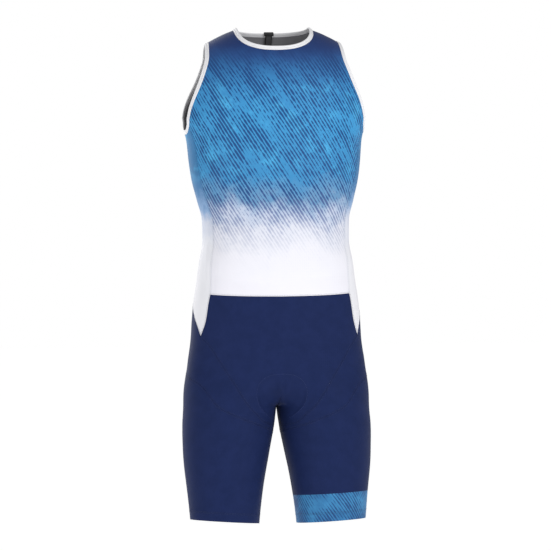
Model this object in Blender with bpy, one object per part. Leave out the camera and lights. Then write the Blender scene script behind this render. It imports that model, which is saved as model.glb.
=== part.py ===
"""Sleeveless one-piece racing skinsuit in the shape it takes when worn, with nobody inside.

Frame: metres, +Z up, the suit faces -Y and the wearer's left is +X. The origin lies midway between the
shoulders, at the height of the neck's side points, where the wearer's shoulders carry the suit.

Every cloth panel is a patch of one worn form. A point of that form is given by two chart values:
  turn    0 at the centre front (below the crotch: at the inseam), 0.5 at the outer side, 1 at the centre back
  level   its height below the chest line, and above it the distance travelled over the rounded yoke
The form is worked out for the wearer's left half and mirrored for the right one.
"""
import math

import bpy
import numpy as np

# ---------------------------------------------------------------- driving sizes
WALL = 0.0012                # knitted cloth
SEAM_GAP = 0.0003            # between pieces that are sewn edge to edge
DRAW_IN_ROUNDS = 60          # passes that spread a seam's draw-in over the cloth beside it
CHEST_LINE = -0.165          # where the yoke starts to round over to the shoulders
YOKE_RUN = 0.185             # level travelled from the chest line to the top of the shoulder
SHOULDER = CHEST_LINE + YOKE_RUN
YOKE_SET_BACK = 0.024        # the shoulder line lies this far behind the origin
CROTCH = -0.7005
INSEAM_JOINT = -0.752        # where the seam between hip and leg panels meets the inseam
SLANT_JOINT = -0.7405        # where the seam between front and hip panels meets it
HEM = -0.9175
HEM_TILT = 0.063             # the hems stay square to the splayed legs
SPLIT_START = -0.6255        # from here down the trunk divides into two legs
RING_POWER = 2.3             # the trunk's rings are slightly squarer than ellipses
TURN_POWER = 2.0 / 2.3       # spreads the turns evenly round a trunk ring
TURN_SHIFT_START = -0.500    # from here down the turns drift towards those of the legs

NECK_HALF_WIDTH = 0.0745
NECK_FRONT_DROP = 0.0355
NECK_BACK_DROP = 0.0135
NECK_POWER = 2.0 / 2.3
BINDING_WIDTH = 0.0085
NECK_LIFT = 0.45             # how far the neck's edge tape stands up from the yoke's slope

ARMHOLE_BOTTOM = -0.1945
ARMHOLE_SEAM_FRONT = (0.403, -0.178)     # turn and level where the side panel starts
ARMHOLE_SEAM_BACK = (0.602, -0.176)

WAIST_FRONT = -0.4960
WAIST_CORNER = (0.318, -0.4922)          # front waist seam, side seam and shorts meet here
SHORTS_SIDE_BEND = (0.1384, -0.5386)     # seen from the front
HIP_POINT_VIEW = (0.1474, -0.5696)       # lower tip of the side panel, seen from the front
WAIST_BACK = -0.4930
BACK_CORNER = (0.612, -0.5010)           # side panel, back and hip panel meet here

ZIP_HALF_OPENING = 0.0034
ZIP_END = -0.395
ZIP_ABOVE_NECK = 0.0088      # the zip runs on past the neck edge, between the ends of the edge tape
BAND_HEIGHT = 0.052
PAD_OUTER = -0.0030          # the pad's two faces, measured from the worn form
PAD_INNER = -0.0070
PAD_SNAP = 0.0025            # corners this close to the pad's outline are taken as lying on it

# cells along each seam, shared by the panels on both its sides
CELLS = {
    "neck front": 9, "neck back": 7, "shoulder": 4, "armhole front": 12, "armhole back": 12,
    "armhole bottom": 6, "side seam": 9, "side seam back": 8, "shorts side": 3, "hip top": 4,
    "slant seam": 9, "inseam top": 2, "hip rows": 11, "leg rows": 8, "band rows": 2,
}
CELLS["waist"] = CELLS["neck front"] + CELLS["shoulder"]
CELLS["waist back"] = CELLS["neck back"] + CELLS["shoulder"]
CELLS["leg seam"] = CELLS["slant seam"] + CELLS["hip top"] + CELLS["waist back"]

# ---------------------------------------------------------------- tables (metres)
# rings of the trunk, from the chest line down; shift moves a ring back
TRUNK = [
    # level    half width  front    back     shift
    (-0.165,   0.1735,     0.112,   0.110,   0.012),
    (-0.185,   0.1690,     0.113,   0.109,   0.011),
    (-0.206,   0.1640,     0.113,   0.107,   0.010),
    (-0.243,   0.1607,     0.112,   0.102,   0.007),
    (-0.2805,  0.1556,     0.107,   0.096,   0.003),
    (-0.318,   0.1465,     0.102,   0.092,  -0.001),
    (-0.355,   0.1375,     0.099,   0.090,  -0.004),
    (-0.393,   0.1369,     0.099,   0.091,  -0.005),
    (-0.430,   0.1435,     0.101,   0.097,  -0.004),
    (-0.4675,  0.1482,     0.103,   0.104,  -0.002),
    (-0.505,   0.1539,     0.104,   0.112,   0.000),
    (-0.542,   0.1576,     0.104,   0.118,   0.001),
    (-0.580,   0.1600,     0.103,   0.122,   0.002),
    (-0.617,   0.1652,     0.101,   0.122,   0.003),
    (-0.6545,  0.1697,     0.099,   0.118,   0.004),
    (-0.7005,  0.1742,     0.096,   0.112,   0.006),
]
# rings of one leg; inner is the gap from the middle plane to the inseam
LEG = [
    # level    inner    half width  half depth  shift
    (-0.7005,  0.0000,  0.0871,     0.098,      0.007),
    (-0.715,   0.0018,  0.0866,     0.097,      0.007),
    (-0.729,   0.0038,  0.0862,     0.096,      0.006),
    (-0.748,   0.0070,  0.0850,     0.094,      0.005),
    (-0.785,   0.0145,  0.0810,     0.089,      0.003),
    (-0.823,   0.0222,  0.0760,     0.083,      0.000),
    (-0.860,   0.0285,  0.0708,     0.077,     -0.003),
    (-0.898,   0.0335,  0.0665,     0.072,     -0.005),
    (-0.9400,  0.0372,  0.0628,     0.067,     -0.007),
]
# height of the shoulder's top line over the distance from the middle plane
SHOULDER_TOP = [
    # across   height
    (0.000,    0.0150),
    (0.030,    0.0115),
    (0.055,    0.0050),
    (0.0745,  -0.0010),
    (0.090,   -0.0070),
    (0.105,   -0.0140),
    (0.121,   -0.0225),
    (0.145,   -0.0360),
    (0.170,   -0.0500),
]
# the armhole's front edge as seen from the front; the back edge is cut further in
ARMHOLE = [
    # across   height    back cut
    (0.1200,  -0.0220,   0.0000),
    (0.1235,  -0.0370,   0.0045),
    (0.1267,  -0.0560,   0.0080),
    (0.1353,  -0.0815,   0.0095),
    (0.1451,  -0.1066,   0.0085),
    (0.1560,  -0.1330,   0.0050),
    (0.1613,  -0.1500,   0.0020),
    (0.1637,  -0.1630,   0.0000),
]
# side seams of the trunk, from the armhole down to the waist
SIDE_SEAM = [
    # level    turn     turn of the back one
    (-0.178,   0.403,   0.602),
    (-0.224,   0.382,   0.618),
    (-0.280,   0.368,   0.630),
    (-0.337,   0.356,   0.640),
    (-0.387,   0.347,   0.648),
    (-0.443,   0.337,   0.640),
    (-0.4922,  0.318,   0.615),
    (-0.5100,  0.312,   0.608),
]
# slanting seams of the shorts as seen from the front
SLANT_SEAM = [               # front panel to hip panel, from the hip point down
    # across   height
    (0.1305,  -0.5920),
    (0.1165,  -0.6160),
    (0.1015,  -0.6400),
    (0.0815,  -0.6735),
    (0.0621,  -0.7012),
    (0.0461,  -0.7168),
    (0.0285,  -0.7322),
]
LEG_SEAM_FRONT = [           # hip panel to leg panel, from the inseam out to the side
    # across   height
    (0.0294,  -0.7408),
    (0.0560,  -0.7315),
    (0.0780,  -0.7225),
    (0.1000,  -0.7134),
    (0.1200,  -0.7012),
    (0.1310,  -0.6880),
    (0.1430,  -0.6695),
    (0.1560,  -0.6564),
]
LEG_SEAM_BACK = [            # the same seam from the outer side round the back to the inseam
    # turn     level
    (0.500,   -0.6440),
    (0.600,   -0.6470),
    (0.700,   -0.6650),
    (0.800,   -0.6960),
    (0.900,   -0.7300),
    (1.000,   INSEAM_JOINT),
]
# half width of the pad over the way from its front end, under the crotch, to its back end
PAD_OUTLINE = [
    # way      half width
    (0.000,    0.022),
    (0.030,    0.044),
    (0.070,    0.050),
    (0.110,    0.042),
    (0.150,    0.038),
    (0.200,    0.056),
    (0.250,    0.064),
    (0.300,    0.050),
    (0.330,    0.024),
]
PAD_FRONT_END = -0.641

# cross-sections: across the edge or the zip, and outwards from the worn form
BINDING_PROFILE = [          # folded edge tape, off the cloth and outwards
    (0.00030, -0.0015), (0.00030, 0.0002), (0.0022, 0.0007), (0.0064, 0.0007),
    (BINDING_WIDTH, 0.0000), (BINDING_WIDTH, -0.0013), (0.0064, -0.0020), (0.0022, -0.0020),
]
ZIP_PROFILE = [              # tape with the closed coil standing in the opening
    (-0.0065, -0.0034), (0.0065, -0.0034), (0.0065, -0.0027), (0.0022, -0.0027),
    (0.0022, 0.0004), (-0.0022, 0.0004), (-0.0022, -0.0027), (-0.0065, -0.0027),
]
GUARD_PROFILE = [            # strip that keeps the zip off the skin
    (-0.0050, -0.0044), (0.0050, -0.0044), (0.0050, -0.0037), (-0.0050, -0.0037),
]
COVER_SIDE = [               # folded cover over the zip's top end: up the zip, and outwards
    (0.0055, -0.0057), (0.0095, -0.0057), (0.0103, -0.0049), (0.0103, 0.0014), (0.0095, 0.0021),
    (0.0030, 0.0021), (0.0030, 0.0011), (0.0091, 0.0011), (0.0091, -0.0047), (0.0055, -0.0047),
]
COVER_HALF_WIDTH = 0.0089
# boxes of the slider and its pull: half width, then from and to up the zip, then from and to outwards
SLIDER_PLATE = (0.0042, -0.0105, -0.0010, 0.0008, 0.0029)
SLIDER_BRIDGE = (0.0011, -0.0089, -0.0021, 0.0025, 0.0062)
BRIDGE_HOLE = (0.0030, -0.0079, -0.0031, 0.0030, 0.0052)
PULL_BAR = (-0.0055, 0.0041)             # the hinge line, up the zip and outwards
PULL_PLATE = (0.0035, -0.0275, -0.0049, 0.0035, 0.0047)
PULL_HOLE = (0.0020, -0.0103, -0.0061, 0.0020, 0.0060)


# ---------------------------------------------------------------- smooth tables
def smooth(rows, column, value):
    """Value of a column at a place in the first column, on a monotone curve through the rows."""
    knots = [row[0] for row in rows]
    heights = [row[column] for row in rows]
    if knots[0] > knots[-1]:
        knots.reverse()
        heights.reverse()
    last = len(knots) - 1
    value = min(max(value, knots[0]), knots[-1])
    slopes = [(heights[i + 1] - heights[i]) / (knots[i + 1] - knots[i]) for i in range(last)]

    def tangent(i):
        if i == 0:
            return slopes[0]
        if i == last:
            return slopes[-1]
        if slopes[i - 1] * slopes[i] <= 0:
            return 0.0
        return 2 * slopes[i - 1] * slopes[i] / (slopes[i - 1] + slopes[i])

    i = 0
    while i < last - 1 and value > knots[i + 1]:
        i += 1
    step = knots[i + 1] - knots[i]
    t = (value - knots[i]) / step
    return ((1 + 2 * t) * (1 - t) ** 2 * heights[i] + t * (1 - t) ** 2 * step * tangent(i)
            + t * t * (3 - 2 * t) * heights[i + 1] - t * t * (1 - t) * step * tangent(i + 1))


# ---------------------------------------------------------------- the worn form
def ease(share):
    """Smooth step from 0 to 1."""
    share = min(max(share, 0.0), 1.0)
    return share * share * (3 - 2 * share)


def trunk_point(turn, level):
    """Point of the trunk's left half."""
    ring = min(level, CHEST_LINE)
    half_width, front, back, shift = (smooth(TRUNK, column, ring) for column in (1, 2, 3, 4))
    drift = ease((TURN_SHIFT_START - level) / (TURN_SHIFT_START - CROTCH))
    power = TURN_POWER + (2.0 - TURN_POWER) * drift
    share = math.sin(math.pi * turn) ** power if 0 < turn < 1 else 0.0
    across = half_width * share
    forward = max(1 - share ** RING_POWER, 0.0) ** (1 / RING_POWER) * (1 if turn < 0.5 else -1)
    depth = front if turn < 0.5 else back
    if level <= CHEST_LINE:
        return np.array((across, shift - depth * forward, level))
    arc = min((level - CHEST_LINE) / YOKE_RUN, 1.0) * math.pi / 2
    top = smooth(SHOULDER_TOP, 1, across)
    shift += (YOKE_SET_BACK - shift) * math.sin(arc)
    height = CHEST_LINE + (top - CHEST_LINE) * math.sin(arc)
    return np.array((across, shift - depth * forward * math.cos(arc), height))


def leg_point(turn, level):
    """Point of the left leg, whose ring starts and ends at the inseam."""
    ring = min(level, CROTCH)
    inner, half_width, half_depth, shift = (smooth(LEG, column, ring) for column in (1, 2, 3, 4))
    angle = 2 * math.pi * turn
    across = inner + half_width * (1 - math.cos(angle))
    tilt = HEM_TILT * ease((CROTCH - level) / (CROTCH - HEM))
    height = level + tilt * (across - inner - half_width)
    return np.array((across, shift - half_depth * math.sin(angle), height))


def form_point(turn, level):
    """Point of the worn form's left half."""
    if level >= SPLIT_START:
        return trunk_point(turn, level)
    if level <= CROTCH:
        return leg_point(turn, level)
    share = (SPLIT_START - level) / (SPLIT_START - CROTCH)
    split = 1 - math.sqrt(1 - share * share)
    return (1 - split) * trunk_point(turn, level) + split * leg_point(turn, level)


def form_normal(turn, level):
    """Outward direction of the worn form."""
    step = 2e-4
    if turn in (0.0, 1.0) and level > CROTCH - 1e-6:
        if level < CROTCH + 1e-6:
            return np.array((0.0, 0.0, -1.0))
        up = form_point(turn, level + step / 10) - form_point(turn, level - step / 10)
        normal = np.array((0.0, -up[2], up[1])) * (1 if turn == 0.0 else -1)
        return normal / np.linalg.norm(normal)
    along = form_point(min(turn + step, 1), level) - form_point(max(turn - step, 0), level)
    up = form_point(turn, min(level + step, SHOULDER)) - form_point(turn, level - step)
    normal = np.cross(along, up)
    return normal / np.linalg.norm(normal)


def turn_at(across, level, back=False):
    """Chart turn of the point that lies this far from the middle plane."""
    low, high = (0.5, 1.0) if back else (0.0, 0.5)
    for _ in range(50):
        middle = (low + high) / 2
        if (form_point(middle, level)[0] < across) == back:
            high = middle
        else:
            low = middle
    return (low + high) / 2


def from_view(across, height, back=False):
    """Chart place of a point seen from the front or the back."""
    if height <= CHEST_LINE:
        return turn_at(across, height, back), height
    rise = (height - CHEST_LINE) / (smooth(SHOULDER_TOP, 1, across) - CHEST_LINE)
    level = CHEST_LINE + YOKE_RUN * math.asin(min(rise, 1.0)) / (math.pi / 2)
    return turn_at(across, level, back), level


# ---------------------------------------------------------------- seams in the chart
def between(rows, column, start, end, count=40):
    """Chart places along a table whose first column is the level."""
    return [(smooth(rows, column, level), level) for level in np.linspace(start, end, count)]


def curve_through(places, count=12):
    """Smooth run of chart places through a few given ones."""
    places = [np.array(place) for place in places]
    run = []
    for i in range(len(places) - 1):
        before = places[max(i - 1, 0)]
        after = places[min(i + 2, len(places) - 1)]
        start, end = places[i], places[i + 1]
        for k in range(count):
            t = k / count
            run.append(0.5 * (2 * start + (end - before) * t
                              + (2 * before - 5 * start + 4 * end - after) * t * t
                              + (3 * start - before - 3 * end + after) * t ** 3))
    run.append(places[-1])
    return [tuple(place) for place in run]


def spaced(run, cells):
    """The same run with evenly spaced places, measured on the form."""
    places = np.array(run, dtype=float)
    points = np.array([form_point(*place) for place in places])
    way = np.concatenate(([0.0], np.cumsum(np.linalg.norm(np.diff(points, axis=0), axis=1))))
    stops = np.linspace(0, way[-1], cells + 1)
    spread = [(float(np.interp(stop, way, places[:, 0])), float(np.interp(stop, way, places[:, 1])))
              for stop in stops]
    spread[0], spread[-1] = tuple(places[0]), tuple(places[-1])
    return spread


def neck_run(drop, back):
    """Neck edge from the middle out to its side point."""
    top = smooth(SHOULDER_TOP, 1, NECK_HALF_WIDTH)
    run = []
    for angle in np.linspace(math.pi / 2, 0, 60):
        across = NECK_HALF_WIDTH * math.cos(angle) ** NECK_POWER if angle < math.pi / 2 else 0.0
        run.append(from_view(across, top - drop * math.sin(angle) ** NECK_POWER, back))
    return run


def armhole_run(back):
    """Armhole edge from the shoulder tip down to the side panel."""
    run = []
    for across, height, cut in ARMHOLE:
        run.append(from_view(across - (cut if back else 0.0), height, back))
    run[0] = (turn_at(ARMHOLE[0][0], SHOULDER, back), SHOULDER)
    run.append(ARMHOLE_SEAM_BACK if back else ARMHOLE_SEAM_FRONT)
    return curve_through(run)


HIP_POINT = from_view(*HIP_POINT_VIEW)


def make_seams():
    """All seam runs of the left half, each with its own number of cells."""
    seams = {}
    tip, tip_back = turn_at(ARMHOLE[0][0], SHOULDER), turn_at(ARMHOLE[0][0], SHOULDER, True)
    side, side_back = turn_at(NECK_HALF_WIDTH, SHOULDER), turn_at(NECK_HALF_WIDTH, SHOULDER, True)
    seams["shoulder"] = [(turn, SHOULDER) for turn in np.linspace(side, tip, 30)]
    seams["shoulder back"] = [(turn, SHOULDER) for turn in np.linspace(side_back, tip_back, 30)]
    front_neck, back_neck = neck_run(NECK_FRONT_DROP, False), neck_run(NECK_BACK_DROP, True)
    front_neck[0], front_neck[-1] = (0.0, front_neck[0][1]), (side, SHOULDER)
    back_neck[-1] = (side_back, SHOULDER)
    opening = turn_at(ZIP_HALF_OPENING, back_neck[0][1], True)
    back_neck = [(opening, back_neck[0][1])] + [place for place in back_neck if place[0] < opening]
    seams["neck front"], seams["neck back"] = front_neck, back_neck
    seams["armhole front"] = armhole_run(False)
    seams["armhole back"] = armhole_run(True)
    seams["armhole bottom"] = curve_through([
        ARMHOLE_SEAM_FRONT, (0.445, -0.1905), (0.500, ARMHOLE_BOTTOM), (0.556, -0.1895), ARMHOLE_SEAM_BACK])
    seams["side seam"] = between(SIDE_SEAM, 1, ARMHOLE_SEAM_FRONT[1], WAIST_CORNER[1])
    seams["side seam back"] = between(SIDE_SEAM, 2, ARMHOLE_SEAM_BACK[1], BACK_CORNER[1])
    seams["side seam"][0], seams["side seam"][-1] = ARMHOLE_SEAM_FRONT, WAIST_CORNER
    seams["side seam back"][0], seams["side seam back"][-1] = ARMHOLE_SEAM_BACK, BACK_CORNER
    waist = (0.16, (WAIST_FRONT * 2 + WAIST_CORNER[1]) / 3)
    waist_back = (0.78, (WAIST_BACK * 2 + BACK_CORNER[1]) / 3)
    seams["waist"] = curve_through([(0.0, WAIST_FRONT), waist, WAIST_CORNER])
    seams["waist back"] = curve_through([BACK_CORNER, waist_back, (1.0, WAIST_BACK)])
    seams["shorts side"] = curve_through([WAIST_CORNER, from_view(*SHORTS_SIDE_BEND), HIP_POINT])
    seams["hip top"] = curve_through([HIP_POINT, (0.420, -0.5490), (0.510, -0.5200), BACK_CORNER])
    slant = [HIP_POINT] + [from_view(*row) for row in SLANT_SEAM] + [(0.0, SLANT_JOINT)]
    seams["slant seam"] = curve_through(slant)
    lower = [(0.0, INSEAM_JOINT)] + [from_view(*row) for row in LEG_SEAM_FRONT] + list(LEG_SEAM_BACK)
    seams["leg seam"] = curve_through(lower)
    seams["inseam top"] = [(0.0, level) for level in np.linspace(CROTCH, SLANT_JOINT, 20)]
    seams["inseam top back"] = [(1.0, level) for level in np.linspace(CROTCH, SLANT_JOINT, 20)]
    spread = {}
    for name, run in seams.items():
        key = name if name in CELLS else name.replace(" back", "")
        spread[name] = spaced(run, CELLS[key])
    return spread


# ---------------------------------------------------------------- cloth pieces
def coons(bottom, top, left, right, reach=1):
    """Chart places of a patch between four runs; bottom and top go left to right, the sides upwards.

    A higher reach keeps the bends of the side runs closer to those sides.
    """
    columns, rows = len(bottom) - 1, len(left) - 1
    bottom, top, left, right = (np.array(run, dtype=float) for run in (bottom, top, left, right))
    grid = np.zeros((rows + 1, columns + 1, 2))
    for j in range(rows + 1):
        t = j / rows
        for i in range(columns + 1):
            s = i / columns
            left_bend = left[j] - (1 - t) * left[0] - t * left[-1]
            right_bend = right[j] - (1 - t) * right[0] - t * right[-1]
            grid[j, i] = ((1 - t) * bottom[i] + t * top[i]
                          + (1 - s) ** reach * left_bend + s ** reach * right_bend)
    return grid


class Sheet:
    """Points, outward directions and faces of a piece of cloth with no thickness yet."""

    def __init__(self):
        self.points, self.normals, self.faces, self.places = [], [], [], {}
        self.seam_points = []

    def vertex(self, turn, level, side):
        """Index of a chart place's point, shared where it already exists on the same half of the ring."""
        point = form_point(turn, level) * side
        key = (turn < 0.5, *(int(round(value * 1e6)) for value in point))
        if key not in self.places:
            self.places[key] = len(self.points)
            self.points.append(point)
            self.normals.append(form_normal(turn, level) * side)
        return self.places[key]

    def add_grid(self, grid, mirror=False, closed=False):
        """Adds the faces of a grid of chart places, mirrored to the wearer's right if asked."""
        rows, columns = grid.shape[0] - 1, grid.shape[1] - 1
        side = np.array((-1.0 if mirror else 1.0, 1.0, 1.0))
        index = [[self.vertex(*place, side) for place in row] for row in grid]
        for j in range(rows):
            for i in range(columns):
                last = 0 if closed and i == columns - 1 else i + 1
                low, high = (index[j][i], index[j][last]), (index[j + 1][i], index[j + 1][last])
                for face in ([low[0], low[1], high[1]], [low[0], high[1], high[0]]):
                    if len(set(face)) == 3:
                        self.faces.append(face[::-1] if mirror else face)
        return self

    def rim(self):
        """Directed edges that belong to one face only, as a table from start to end."""
        edges = {}
        for face in self.faces:
            for k, start in enumerate(face):
                edges[(start, face[(k + 1) % len(face)])] = True
        return {start: end for start, end in edges if (end, start) not in edges}

    def draw_in(self, distance):
        """Moves the rim inwards along the cloth, so that sewn neighbours stay apart."""
        following = self.rim()
        previous = {end: start for start, end in following.items()}
        moves = {}
        for vertex, after in following.items():
            sides = []
            for start, end in ((previous[vertex], vertex), (vertex, after)):
                edge = self.points[end] - self.points[start]
                inward = np.cross(self.normals[vertex], edge)
                sides.append(inward / np.linalg.norm(inward))
            mitre = sides[0] + sides[1]
            moves[vertex] = distance * mitre / max(1 + float(np.dot(*sides)), 0.2)
        shift = np.zeros((len(self.points), 3))
        for vertex, move in moves.items():
            shift[vertex] = move
        free = np.array([vertex not in moves for vertex in range(len(shift))])
        links = {(a, b) for face in self.faces for a in face for b in face if a != b}
        starts, ends = (np.array(column) for column in zip(*sorted(links)))
        count = np.maximum(np.bincount(starts, minlength=len(shift)), 1)[:, None]
        for _ in range(DRAW_IN_ROUNDS):
            spread = np.zeros_like(shift)
            np.add.at(spread, starts, shift[ends])
            shift[free] = (spread / count)[free]
        self.seam_points = list(self.points)
        self.points = [point + move for point, move in zip(self.points, shift)]
        return self

    def side_faces(self, start, end, count):
        """Faces between the two skins along a rim edge, split the same way on both sides of a seam."""
        anchors = self.seam_points or self.points
        keys = [tuple(round(float(value), 6) for value in anchors[v][1:]) for v in (start, end)]
        if keys[0] < keys[1]:
            return [[end, start, end + count], [start, start + count, end + count]]
        return [[end, start, start + count], [end, start + count, end + count]]

    def wall(self, outer, inner):
        """Closed shell between two distances along the outward directions."""
        points, normals = np.array(self.points), np.array(self.normals)
        count = len(points)
        vertices = np.concatenate((points + normals * outer, points + normals * inner))
        faces = [list(face) for face in self.faces]
        faces += [[v + count for v in reversed(face)] for face in self.faces]
        for start, end in self.rim().items():
            faces += self.side_faces(start, end, count)
        return vertices, faces


def reverse(run):
    """The run taken the other way."""
    return list(reversed(run))


def middle_run(start, end, cells):
    """Centre-front or centre-back run between two levels."""
    return spaced([(start[0], level) for level in np.linspace(start[1], end[1], 60)], cells)


def back_edge_run(seams):
    """Centre-back edge from the waist to the neck, which leaves room for the zip."""
    levels = np.linspace(WAIST_BACK, seams["neck back"][0][1], 80)
    run = []
    for level in levels:
        opened = min(max((level - ZIP_END) / 0.030 + 1.0, 0.0), 1.0)
        run.append((turn_at(ZIP_HALF_OPENING * opened, level, True) if opened > 0 else 1.0, level))
    run[-1] = seams["neck back"][0]
    return spaced(run, CELLS["side seam back"] + CELLS["armhole back"])


def panel_grids(seams):
    """Grid of chart places of each panel's left half."""
    grids = {}
    armhole, armhole_back = reverse(seams["armhole front"]), reverse(seams["armhole back"])
    side, side_back = reverse(seams["side seam"]), reverse(seams["side seam back"])
    grids["torso_front"] = coons(
        seams["waist"], seams["neck front"] + seams["shoulder"][1:],
        middle_run((0.0, WAIST_FRONT), seams["neck front"][0], CELLS["side seam"] + CELLS["armhole front"]),
        side + armhole[1:])
    grids["torso_back"] = coons(
        seams["waist back"], reverse(seams["shoulder back"]) + reverse(seams["neck back"])[1:],
        side_back + armhole_back[1:], back_edge_run(seams))
    shorts_side, hip_top = seams["shorts side"], seams["hip top"]
    grids["torso_side"] = coons(
        [HIP_POINT] * (CELLS["armhole bottom"] + 1), seams["armhole bottom"],
        reverse(shorts_side) + side[1:], hip_top + side_back[1:])
    slant = seams["slant seam"]
    inseam, inseam_back = reverse(seams["inseam top"]), reverse(seams["inseam top back"])
    inseam_back = [(1.0, INSEAM_JOINT)] + inseam_back
    front_rows = CELLS["slant seam"] + CELLS["shorts side"] - CELLS["inseam top"]
    grids["shorts_front"] = coons(
        [(0.0, SLANT_JOINT)] * (CELLS["waist"] + 1), seams["waist"],
        inseam + middle_run((0.0, CROTCH), (0.0, WAIST_FRONT), front_rows)[1:],
        reverse(slant) + reverse(shorts_side)[1:])
    top = reverse(slant) + hip_top[1:] + seams["waist back"][1:]
    back_rows = CELLS["hip rows"] - CELLS["inseam top"] - 1
    grids["hip"] = coons(
        seams["leg seam"], top, middle_run((0.0, INSEAM_JOINT), (0.0, SLANT_JOINT), CELLS["hip rows"]),
        inseam_back + middle_run((1.0, CROTCH), (1.0, WAIST_BACK), back_rows)[1:], reach=5)
    for name, upper, lower, rows in leg_parts(seams):
        steps = np.linspace(0, 1, rows + 1)
        grids[name] = np.array([[(1 - t) * np.array(a) + t * np.array(b) for a, b in zip(lower, upper)]
                                for t in steps])
    return grids


def leg_parts(seams):
    """Name, upper run, lower run and rows of the leg panels, whose rings close at the inseam."""
    around = [place[0] for place in seams["leg seam"]]
    even = np.linspace(0, 1, len(around))
    columns = [0.25 * turn + 0.75 * float(step) for turn, step in zip(around, even)]
    hem = [(turn, HEM) for turn in columns]
    band = [(turn, HEM + BAND_HEIGHT) for turn in columns]
    rows, band_rows = CELLS["leg rows"], CELLS["band rows"]
    return [("leg_whole", seams["leg seam"], hem, rows),
            ("leg_short", seams["leg seam"], band, rows - band_rows),
            ("hem_band", band, hem, band_rows)]


# ---------------------------------------------------------------- solids
def add_object(name, vertices, faces, material, smooth_angle=40):
    """Blender object of one closed body."""
    mesh = bpy.data.meshes.new(name)
    mesh.from_pydata([tuple(map(float, vertex)) for vertex in vertices], [], [list(face) for face in faces])
    mesh.validate()
    mesh.update()
    mesh.shade_smooth()
    mesh.set_sharp_from_angle(angle=math.radians(smooth_angle))
    mesh.materials.append(material)
    item = bpy.data.objects.new(name, mesh)
    bpy.context.scene.collection.objects.link(item)
    return item


def make_material(name, colour, roughness=0.7, metallic=0.0):
    """Principled material of one colour."""
    material = bpy.data.materials.new(name)
    material.use_nodes = True
    shader = material.node_tree.nodes["Principled BSDF"]
    shader.inputs["Base Color"].default_value = (*colour, 1.0)
    shader.inputs["Roughness"].default_value = roughness
    shader.inputs["Metallic"].default_value = metallic
    return material


def add_cloth(name, sheets, material):
    """Cloth piece whose wall lies under the worn form's surface."""
    sheet = Sheet()
    for grid, mirror, closed in sheets:
        sheet.add_grid(grid, mirror, closed)
    sheet.draw_in(SEAM_GAP / 2)
    return add_object(name, *sheet.wall(0.0, -WALL), material)


def sweep(frames, profile, closed=False):
    """Solid swept along frames of (point, width direction, thickness direction)."""
    count = len(profile)
    vertices = [point + wide * m + thick * n for point, wide, thick in frames for m, n in profile]
    faces = []
    stations = len(frames)
    for k in range(stations if closed else stations - 1):
        start, end = k * count, ((k + 1) % stations) * count
        for i in range(count):
            j = (i + 1) % count
            faces.append([start + i, start + j, end + j, end + i])
    if not closed:
        faces.append(list(range(count))[::-1])
        faces.append([(stations - 1) * count + i for i in range(count)])
    return vertices, faces


def edge_frames(places, sides, closed, lift):
    """Frames along an edge, whose width direction points off the cloth into the opening."""
    points = [form_point(*place) * side for place, side in zip(places, sides)]
    normals = [form_normal(*place) * side for place, side in zip(places, sides)]
    last = len(points) - 1
    frames = []
    for k, (point, normal) in enumerate(zip(points, normals)):
        before = points[k - 1] if closed or k > 0 else points[k]
        after = points[(k + 1) % len(points)] if closed or k < last else points[k]
        run = (after - before) / np.linalg.norm(after - before)
        wide = np.cross(run, normal)
        wide = wide / np.linalg.norm(wide) + lift * np.array((0.0, 0.0, 1.0))
        wide = wide - run * float(np.dot(wide, run))
        wide = wide / np.linalg.norm(wide)
        frames.append((point, wide, np.cross(wide, run)))
    return frames


def add_bindings(seams, material):
    """Folded edge tape round the neck, open at the zip, and round both armholes."""
    half = reverse(seams["neck front"])[:-1]
    left = seams["neck back"] + half
    places = left + [seams["neck front"][0]] + reverse(left)
    plain, mirrored = np.ones(3), np.array((-1.0, 1.0, 1.0))
    sides = [plain] * len(left) + [plain] + [mirrored] * len(left)
    frames = edge_frames(places, sides, False, NECK_LIFT)
    add_object("neck_binding", *outward(*sweep(frames, BINDING_PROFILE)), material)
    loop = (seams["armhole front"][:-1] + seams["armhole bottom"][:-1]
            + reverse(seams["armhole back"])[:-1])
    for name, side in (("armhole_binding_left", plain), ("armhole_binding_right", mirrored)):
        run = loop if side is plain else reverse(loop)
        frames = edge_frames(reverse(run), [side] * len(run), True, 0.0)
        add_object(name, *outward(*sweep(frames, BINDING_PROFILE, True)), material)


def outward(vertices, faces):
    """The same body with its faces turned outwards."""
    points = np.array(vertices, dtype=float)
    volume = 0.0
    for face in faces:
        for k in range(1, len(face) - 1):
            volume += float(np.dot(points[face[0]], np.cross(points[face[k]], points[face[k + 1]])))
    return (points, faces) if volume > 0 else (points, [face[::-1] for face in faces])


# ---------------------------------------------------------------- zip
def zip_rows(seams):
    """Rows of the back panels' centre line from the zip's lower end up to the neck edge."""
    levels = [place[1] for place in back_edge_run(seams) if place[1] > ZIP_END + 0.004]
    return [form_point(1.0, level) for level in [ZIP_END + 0.004] + levels]


def zip_frames(rows, binding_way):
    """Frames up the centre back and on between the ends of the edge tape."""
    points = rows + [rows[-1] + ZIP_ABOVE_NECK * binding_way]
    across = np.array((1.0, 0.0, 0.0))
    frames = []
    for k, point in enumerate(points):
        run = points[min(k + 1, len(points) - 1)] - points[max(k - 1, 0)]
        normal = np.cross(run, across)
        frames.append((point, across, normal / np.linalg.norm(normal)))
    return frames


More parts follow.
